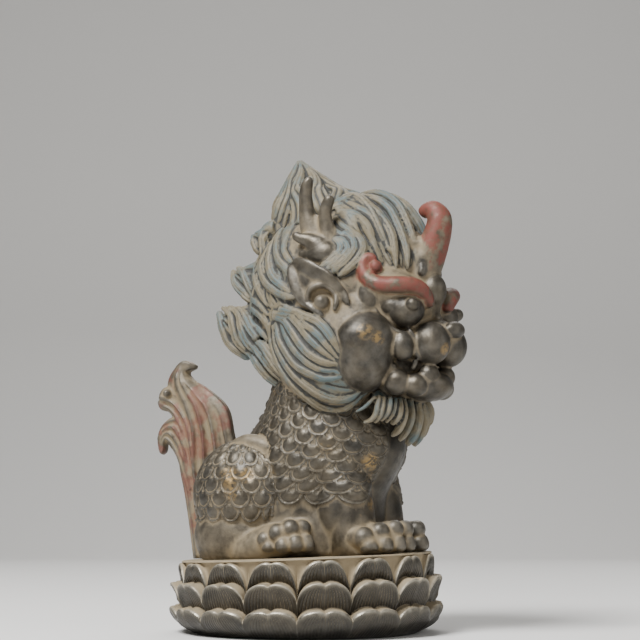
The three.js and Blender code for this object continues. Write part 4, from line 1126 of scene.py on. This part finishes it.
class Finish:
    """Builds one material node by node, with short names for what it uses."""

    def __init__(self, name):
        """An empty material whose patterns are placed by the piece's own coordinates."""
        self.material = bpy.data.materials.new(name)
        self.material.use_nodes = True
        self.tree = self.material.node_tree
        self.shader = self.tree.nodes["Principled BSDF"]
        self.place = self.add("ShaderNodeTexCoord").outputs["Object"]

    def add(self, kind, **settings):
        """A new node with its settings."""
        node = self.tree.nodes.new(kind)
        for key, value in settings.items():
            setattr(node, key, value)
        return node

    def put(self, value, socket):
        """A link into a socket, or a constant set on it."""
        if isinstance(value, bpy.types.NodeSocket):
            self.tree.links.new(value, socket)
        else:
            socket.default_value = value

    def maths(self, operation, total, *values, clamp=False):
        """The values taken up one after the other, and the last result kept within 0 to 1 if asked."""
        for left, value in zip(range(len(values))[::-1], values):
            node = self.add("ShaderNodeMath", operation=operation, use_clamp=clamp and left == 0)
            self.put(total, node.inputs[0])
            self.put(value, node.inputs[1])
            total = node.outputs[0]
        return total

    def times(self, *values, clamp=False):
        """The product of the values."""
        return self.maths("MULTIPLY", *values, clamp=clamp)

    def plus(self, *values, clamp=False):
        """The sum of the values."""
        return self.maths("ADD", *values, clamp=clamp)

    def most(self, *values, clamp=False):
        """The greatest of the values."""
        return self.maths("MAXIMUM", *values, clamp=clamp)

    def spread(self, value, low, high, to_low=0.0, to_high=1.0):
        """A value carried from low..high to to_low..to_high in a straight line, and held at both ends."""
        node = self.add("ShaderNodeMapRange", clamp=True)
        for socket, v in zip(node.inputs, (value, low, high, to_low, to_high)):
            self.put(v, socket)
        return node.outputs[0]

    def noise(self, size):
        """Smooth noise with spots of about the size in millimetres."""
        node = self.add("ShaderNodeTexNoise")
        self.put(self.place, node.inputs["Vector"])
        for name, value in (("Scale", 1 / (size * MM)), ("Detail", 4.0), ("Roughness", 0.55)):
            node.inputs[name].default_value = value
        return node.outputs["Fac"]

    def attribute(self, name):
        """The four values that a piece carries under a name."""
        node = self.add("ShaderNodeAttribute", attribute_name=name)
        parts = self.add("ShaderNodeSeparateColor")
        self.put(node.outputs["Color"], parts.inputs[0])
        return [*parts.outputs[:3], node.outputs["Alpha"]]

    def mix(self, share, a, b):
        """Colour a, with b laid over it by the share."""
        node = self.add("ShaderNodeMix", data_type="RGBA")
        self.put(share, node.inputs["Factor"])
        for value, socket in ((a, node.inputs[6]), (b, node.inputs[7])):
            self.put(value if isinstance(value, bpy.types.NodeSocket) else (*value, 1), socket)
        return node.outputs[2]

    def near(self, x, y, z, radius):
        """One within 0.4 radii of a place in millimetres, falling to zero at the radius."""
        node = self.add("ShaderNodeVectorMath", operation="DISTANCE")
        self.put(self.place, node.inputs[0])
        node.inputs[1].default_value = (x * MM, y * MM, z * MM)
        return self.spread(node.outputs["Value"], radius * MM, 0.4 * radius * MM)

    def surface(self, colour, metallic, roughness, height, strength):
        """The finished looks put on the shader, with a bump of up to 0.05 mm."""
        for name, value in (("Base Color", colour), ("Metallic", metallic), ("Roughness", roughness)):
            self.put(value, self.shader.inputs[name])
        node = self.add("ShaderNodeBump")
        for name, value in (("Height", height), ("Distance", 0.05 * MM), ("Strength", strength)):
            self.put(value, node.inputs[name])
        self.put(node.outputs["Normal"], self.shader.inputs["Normal"])
        return self.material


# Colours of the bronze, its dust and its paint, and of painted shade and highlight, as linear red, green and
# blue.
METAL = (0.036, 0.034, 0.03)
METAL_LIGHT = (0.1, 0.093, 0.08)
BASE_METAL_LIGHT = (0.058, 0.054, 0.047)
WORN_AND_HIGHLIGHT = (0.27, 0.255, 0.22)
DUST = (0.2, 0.156, 0.092)
LIP_HIGHLIGHT_AND_WEAR = (0.36, 0.33, 0.265)
LEDGE_DUST = (0.29, 0.232, 0.146)
DARK_PATINA_AND_SHADE = (0.014, 0.013, 0.011)
HAIR_GROOVE_SHADE = (0.022, 0.023, 0.021)
HAIR_DUST = (0.15, 0.122, 0.07)
HAIR_PALE = (0.2, 0.184, 0.136)
BLUE = (0.055, 0.105, 0.122)
RED_PAINT = (0.16, 0.034, 0.022)
GOLD = (0.36, 0.235, 0.09)

# Rests of gilding: place and radius in millimetres.
GILT_SPOTS = [(20.1, -17.2, 55.9, 1.8), (22.1, -15.9, 54.8, 1.6), (32.5, -8, 53.1, 1.4),
              (-9.1, -15.2, 29.5, 2.6), (-8.3, -15.5, 26.8, 2), (-5.6, -14.8, 29.9, 1.8),
              (9.8, -10.9, 34.8, 1.7), (16.5, -7.3, 32.6, 2.2), (-0.5, -10.2, 34.7, 1.4),
              (1.7, -11.4, 32.5, 1.4), (16.9, -7.3, 24.5, 1.7)]


def figure_finish():
    """Dark bronze with tan dust in its hollows, ridges lightened by wear and a painted highlight, painted
    shade in deep hollows, in the grooves of scales and hair and on faces that turn down, and rests of blue,
    red and gold.
    """
    f = Finish("patinated_bronze")
    red, hair_part, bare, scaled = f.attribute("paint")
    fine, wide, up, low = f.attribute("form")
    broad, medium, small, speck = f.noise(7), f.noise(2.4), f.noise(0.9), f.noise(0.35)
    ridge = f.spread(fine, -0.008, -0.045)
    knob = f.times(f.spread(wide, -0.04, -0.16), f.spread(low, 0.2, 0.5))
    # Ridges and knuckles are lightened: partly wear, partly a painted highlight.
    wear_and_highlight = f.times(f.most(ridge, knob), f.spread(small, 0.35, 0.65, 0.1, 0.4))
    colour = f.mix(f.spread(medium, 0.36, 0.68), METAL, METAL_LIGHT)
    # Scaled parts are darker: partly a darker patina, partly painted shade.
    colour = f.mix(f.times(scaled, 0.35), colour, DARK_PATINA_AND_SHADE)
    colour = f.mix(wear_and_highlight, colour, WORN_AND_HIGHLIGHT)

    # Dust lies on what faces up and low down, in the hollows, and less on bare metal and ridges.
    dust = f.plus(f.spread(broad, 0.4, 0.62, 0.0, 0.16), f.spread(up, 0.3, 0.95, 0.0, 0.4), f.times(low, 0.7),
                  f.spread(f.plus(bare, scaled), 0.0, 0.4, 0.6, 0.0), f.times(bare, -0.22),
                  f.times(ridge, -0.25), f.times(f.spread(wide, -0.01, -0.1), -0.3), clamp=True)
    crevice = f.times(f.spread(fine, 0.002, 0.035), f.spread(scaled, 0.4, 1.0, 0.45, 0.25))
    dust = f.plus(dust, crevice, f.times(f.spread(wide, -0.01, 0.09), 0.65))
    dust = f.times(dust, f.spread(medium, 0.3, 0.62, 0.45, 1.15), clamp=True)
    dust = f.times(dust, f.spread(knob, 0.1, 0.7, 1.0, 0.25))
    film = f.times(f.spread(f.noise(4.5), 0.36, 0.66, 0.03, 0.3), f.spread(bare, 0.5, 1.0, 1.0, 0.8))
    colour = f.mix(f.most(dust, film), colour, DUST)
    # Painted shade in the grooves between the scales.
    shade = f.times(f.spread(scaled, 0.3, 0.6), f.spread(fine, -0.012, 0.004), 0.3)
    colour = f.mix(shade, colour, DARK_PATINA_AND_SHADE)

    # Gilding stays on scales by chance and where the photograph shows it, red on what was painted.
    gilt = f.times(f.spread(broad, 0.62, 0.67), f.spread(scaled, 0.35, 0.9, 0.0, 0.7))
    gilt = f.most(gilt, *(f.near(*spot) for spot in GILT_SPOTS))
    gilt = f.times(gilt, f.spread(small, 0.38, 0.54), f.spread(fine, 0.02, -0.01))
    colour = f.mix(f.times(gilt, 0.75), colour, GOLD)
    painted = f.times(f.spread(f.plus(f.noise(4), f.times(red, 0.26)), 0.64, 0.73), red,
                      f.spread(small, 0.3, 0.55, 0.45, 1.0), clamp=True)
    # Faces that turn down lose their red, so that they keep a painted shade.
    painted = f.times(painted, f.spread(up, -0.95, -0.6))
    colour = f.mix(f.times(painted, 0.9), colour, RED_PAINT)
    # Painted shade in the deep hollows.
    pit_shade = f.times(f.spread(wide, 0.1, 0.26), f.spread(small, 0.3, 0.6, 0.5, 1.0))
    colour = f.mix(f.times(pit_shade, 0.75), colour, DARK_PATINA_AND_SHADE)

    # Hair: pale dusty strands, blue on their ridges, painted shade in the grooves and along fine lines, and a
    # painted highlight with wear on the crests.
    strand = f.mix(f.spread(small, 0.35, 0.65), HAIR_DUST, HAIR_PALE)
    strand = f.mix(f.spread(medium, 0.34, 0.66, 0.85, 0.15), strand, HAIR_DUST)
    blue = f.times(f.spread(fine, 0.014, -0.012), f.spread(f.noise(6), 0.48, 0.6))
    strand = f.mix(f.times(blue, 0.8), strand, BLUE)
    # The grooves and the fine lines are darkened as painted shade.
    groove = f.plus(f.spread(fine, -0.002, 0.026), f.spread(wide, 0.01, 0.12), clamp=True)
    wave = f.plus(f.times(f.attribute("strand")[0], 5.5), f.times(medium, 3.0))
    lines = f.spread(f.maths("ABSOLUTE", f.maths("SINE", wave, 0.0), 0.0), 0.0, 0.42, 1.0, 0.0)
    lines = f.times(lines, f.spread(small, 0.34, 0.6, 0.1, 0.6))
    strand = f.mix(f.times(f.most(groove, lines), 0.96), strand, HAIR_GROOVE_SHADE)
    # The strand crests get a painted highlight and wear.
    strand = f.mix(f.times(wear_and_highlight, 0.9), strand, WORN_AND_HIGHLIGHT)
    colour = f.mix(hair_part, colour, strand)

    # Dust, paint and hair are matt, and bare bronze shines.
    matt = f.most(dust, f.times(painted, 0.8), hair_part, clamp=True)
    metallic = f.spread(matt, 0.0, 0.8, 0.75, 0.05)
    rough = f.plus(f.spread(matt, 0.0, 1.0, 0.44, 0.62), f.spread(small, 0.3, 0.7, -0.07, 0.1))
    height = f.plus(speck, f.times(small, 0.8), f.times(lines, hair_part, -2.0))
    return f.surface(colour, metallic, rough, height, 0.8)


def base_finish():
    """Dark bronze petals whose lips and ridges are lightened by wear and a painted highlight, and tan dust on
    the ledges and in the seams.
    """
    f = Finish("base_bronze")
    _, lip, _, ledge = f.attribute("paint")
    fine = f.attribute("form")[0]
    medium, small, speck = f.noise(2.4), f.noise(0.9), f.noise(0.35)
    colour = f.mix(f.spread(medium, 0.36, 0.68), METAL, BASE_METAL_LIGHT)
    # The petals' ridges are lightened: partly wear, partly a painted highlight.
    wear_and_highlight = f.times(f.spread(fine, -0.005, -0.05), f.spread(small, 0.35, 0.65, 0.2, 0.8), 0.35)
    colour = f.mix(wear_and_highlight, colour, WORN_AND_HIGHLIGHT)
    # The lips are lightened: partly wear, partly a painted highlight.
    colour = f.mix(f.times(lip, f.spread(small, 0.36, 0.58, 0.5, 1.0)), colour, LIP_HIGHLIGHT_AND_WEAR)
    dust = f.plus(f.times(ledge, 0.95), f.spread(fine, 0.005, 0.07, 0.0, 0.55))
    dust = f.most(dust, f.spread(f.noise(4.5), 0.4, 0.66, 0.0, 0.08))
    dust = f.times(dust, f.spread(medium, 0.3, 0.62, 0.55, 1.15), clamp=True)
    colour = f.mix(dust, colour, LEDGE_DUST)
    metallic = f.spread(dust, 0.0, 0.8, 0.8, 0.05)
    rough = f.plus(f.spread(dust, 0.0, 1.0, 0.38, 0.82), f.spread(small, 0.3, 0.7, -0.06, 0.1))
    return f.surface(colour, metallic, rough, f.plus(speck, f.times(small, 0.8)), 0.7)


def dress(piece, node, material):
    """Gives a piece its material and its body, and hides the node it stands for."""
    piece.data.materials.clear()
    piece.data.materials.append(material)
    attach(piece, "root")
    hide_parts(node)


dress(qilin(), "qilin", figure_finish())
dress(lotus_base(), "lotus_base", base_finish())


# Studio.

def plain_material(name, colour):
    """A matt material of one colour."""
    material = bpy.data.materials.new(name)
    material.use_nodes = True
    shader = material.node_tree.nodes["Principled BSDF"]
    shader.inputs["Base Color"].default_value = (*colour, 1)
    shader.inputs["Roughness"].default_value = 0.9
    return material


def floor():
    """A pale floor that curves up behind the figure in a quarter circle, seen from the camera."""
    back = np.linspace(0, math.pi / 2, 12)
    run = np.concatenate([[-1.2], 0.6 + 0.3 * np.sin(back), [0.9]])
    rise = np.concatenate([[0], 0.3 - 0.3 * np.cos(back), [1.2]])
    points = [(*turned(w, r, PHOTO_TURN), z) for r, z in zip(run, rise) for w in (-1.6, 1.6)]
    faces = [(2 * i, 2 * i + 1, 2 * i + 3, 2 * i + 2) for i in range(len(run) - 1)]
    mesh = bpy.data.meshes.new("floor")
    mesh.from_pydata(points, [], faces)
    mesh.materials.append(plain_material("pale_floor", (0.72, 0.71, 0.69)))
    mesh.polygons.foreach_set("use_smooth", np.ones(len(faces), bool))
    object_of(mesh)


def soft_light(name, heading, height, distance, size, power):
    """A square light that looks at the figure's middle from a heading and a height in degrees."""
    data = bpy.data.lights.new(name, "AREA")
    data.size = size
    data.energy = power
    light = bpy.data.objects.new(name, data)
    bpy.context.scene.collection.objects.link(light)
    h, e = math.radians(heading), math.radians(height)
    light.location = (distance * math.sin(h) * math.cos(e), -distance * math.cos(h) * math.cos(e),
                      distance * math.sin(e) + 0.05)
    light.rotation_euler = (math.pi / 2 - e, 0, h)


# The camera stands low and near, and looks up a little, as in the photograph.
PHOTO_TURN = 25 * DEGREE
CAMERA_PLACE = (0.0026, -0.2844, 0.0206)
CAMERA_PITCH = 8.2 * DEGREE
CAMERA_LENS = 80


def camera():
    """The camera at the photograph's viewing angle, with no depth of field."""
    data = bpy.data.cameras.new("camera")
    data.lens = CAMERA_LENS
    data.sensor_width = 36
    data.clip_start = 0.01
    eye = bpy.data.objects.new("camera", data)
    bpy.context.scene.collection.objects.link(eye)
    eye.location = (*turned(*CAMERA_PLACE[:2], PHOTO_TURN), CAMERA_PLACE[2])
    eye.rotation_euler = (math.pi / 2 + CAMERA_PITCH, 0, PHOTO_TURN)
    bpy.context.scene.camera = eye


def world():
    """An even pale surround."""
    surround = bpy.data.worlds.new("surround")
    surround.use_nodes = True
    background = surround.node_tree.nodes["Background"]
    background.inputs["Color"].default_value = (0.79, 0.78, 0.76, 1)
    background.inputs["Strength"].default_value = 0.31
    bpy.context.scene.world = surround


floor()
soft_light("key", -12, 50, 0.55, 0.22, 6.6)
soft_light("fill", 80, 20, 0.7, 0.5, 1.2)
soft_light("rim", 200, 45, 0.7, 0.4, 2.2)
world()
camera()
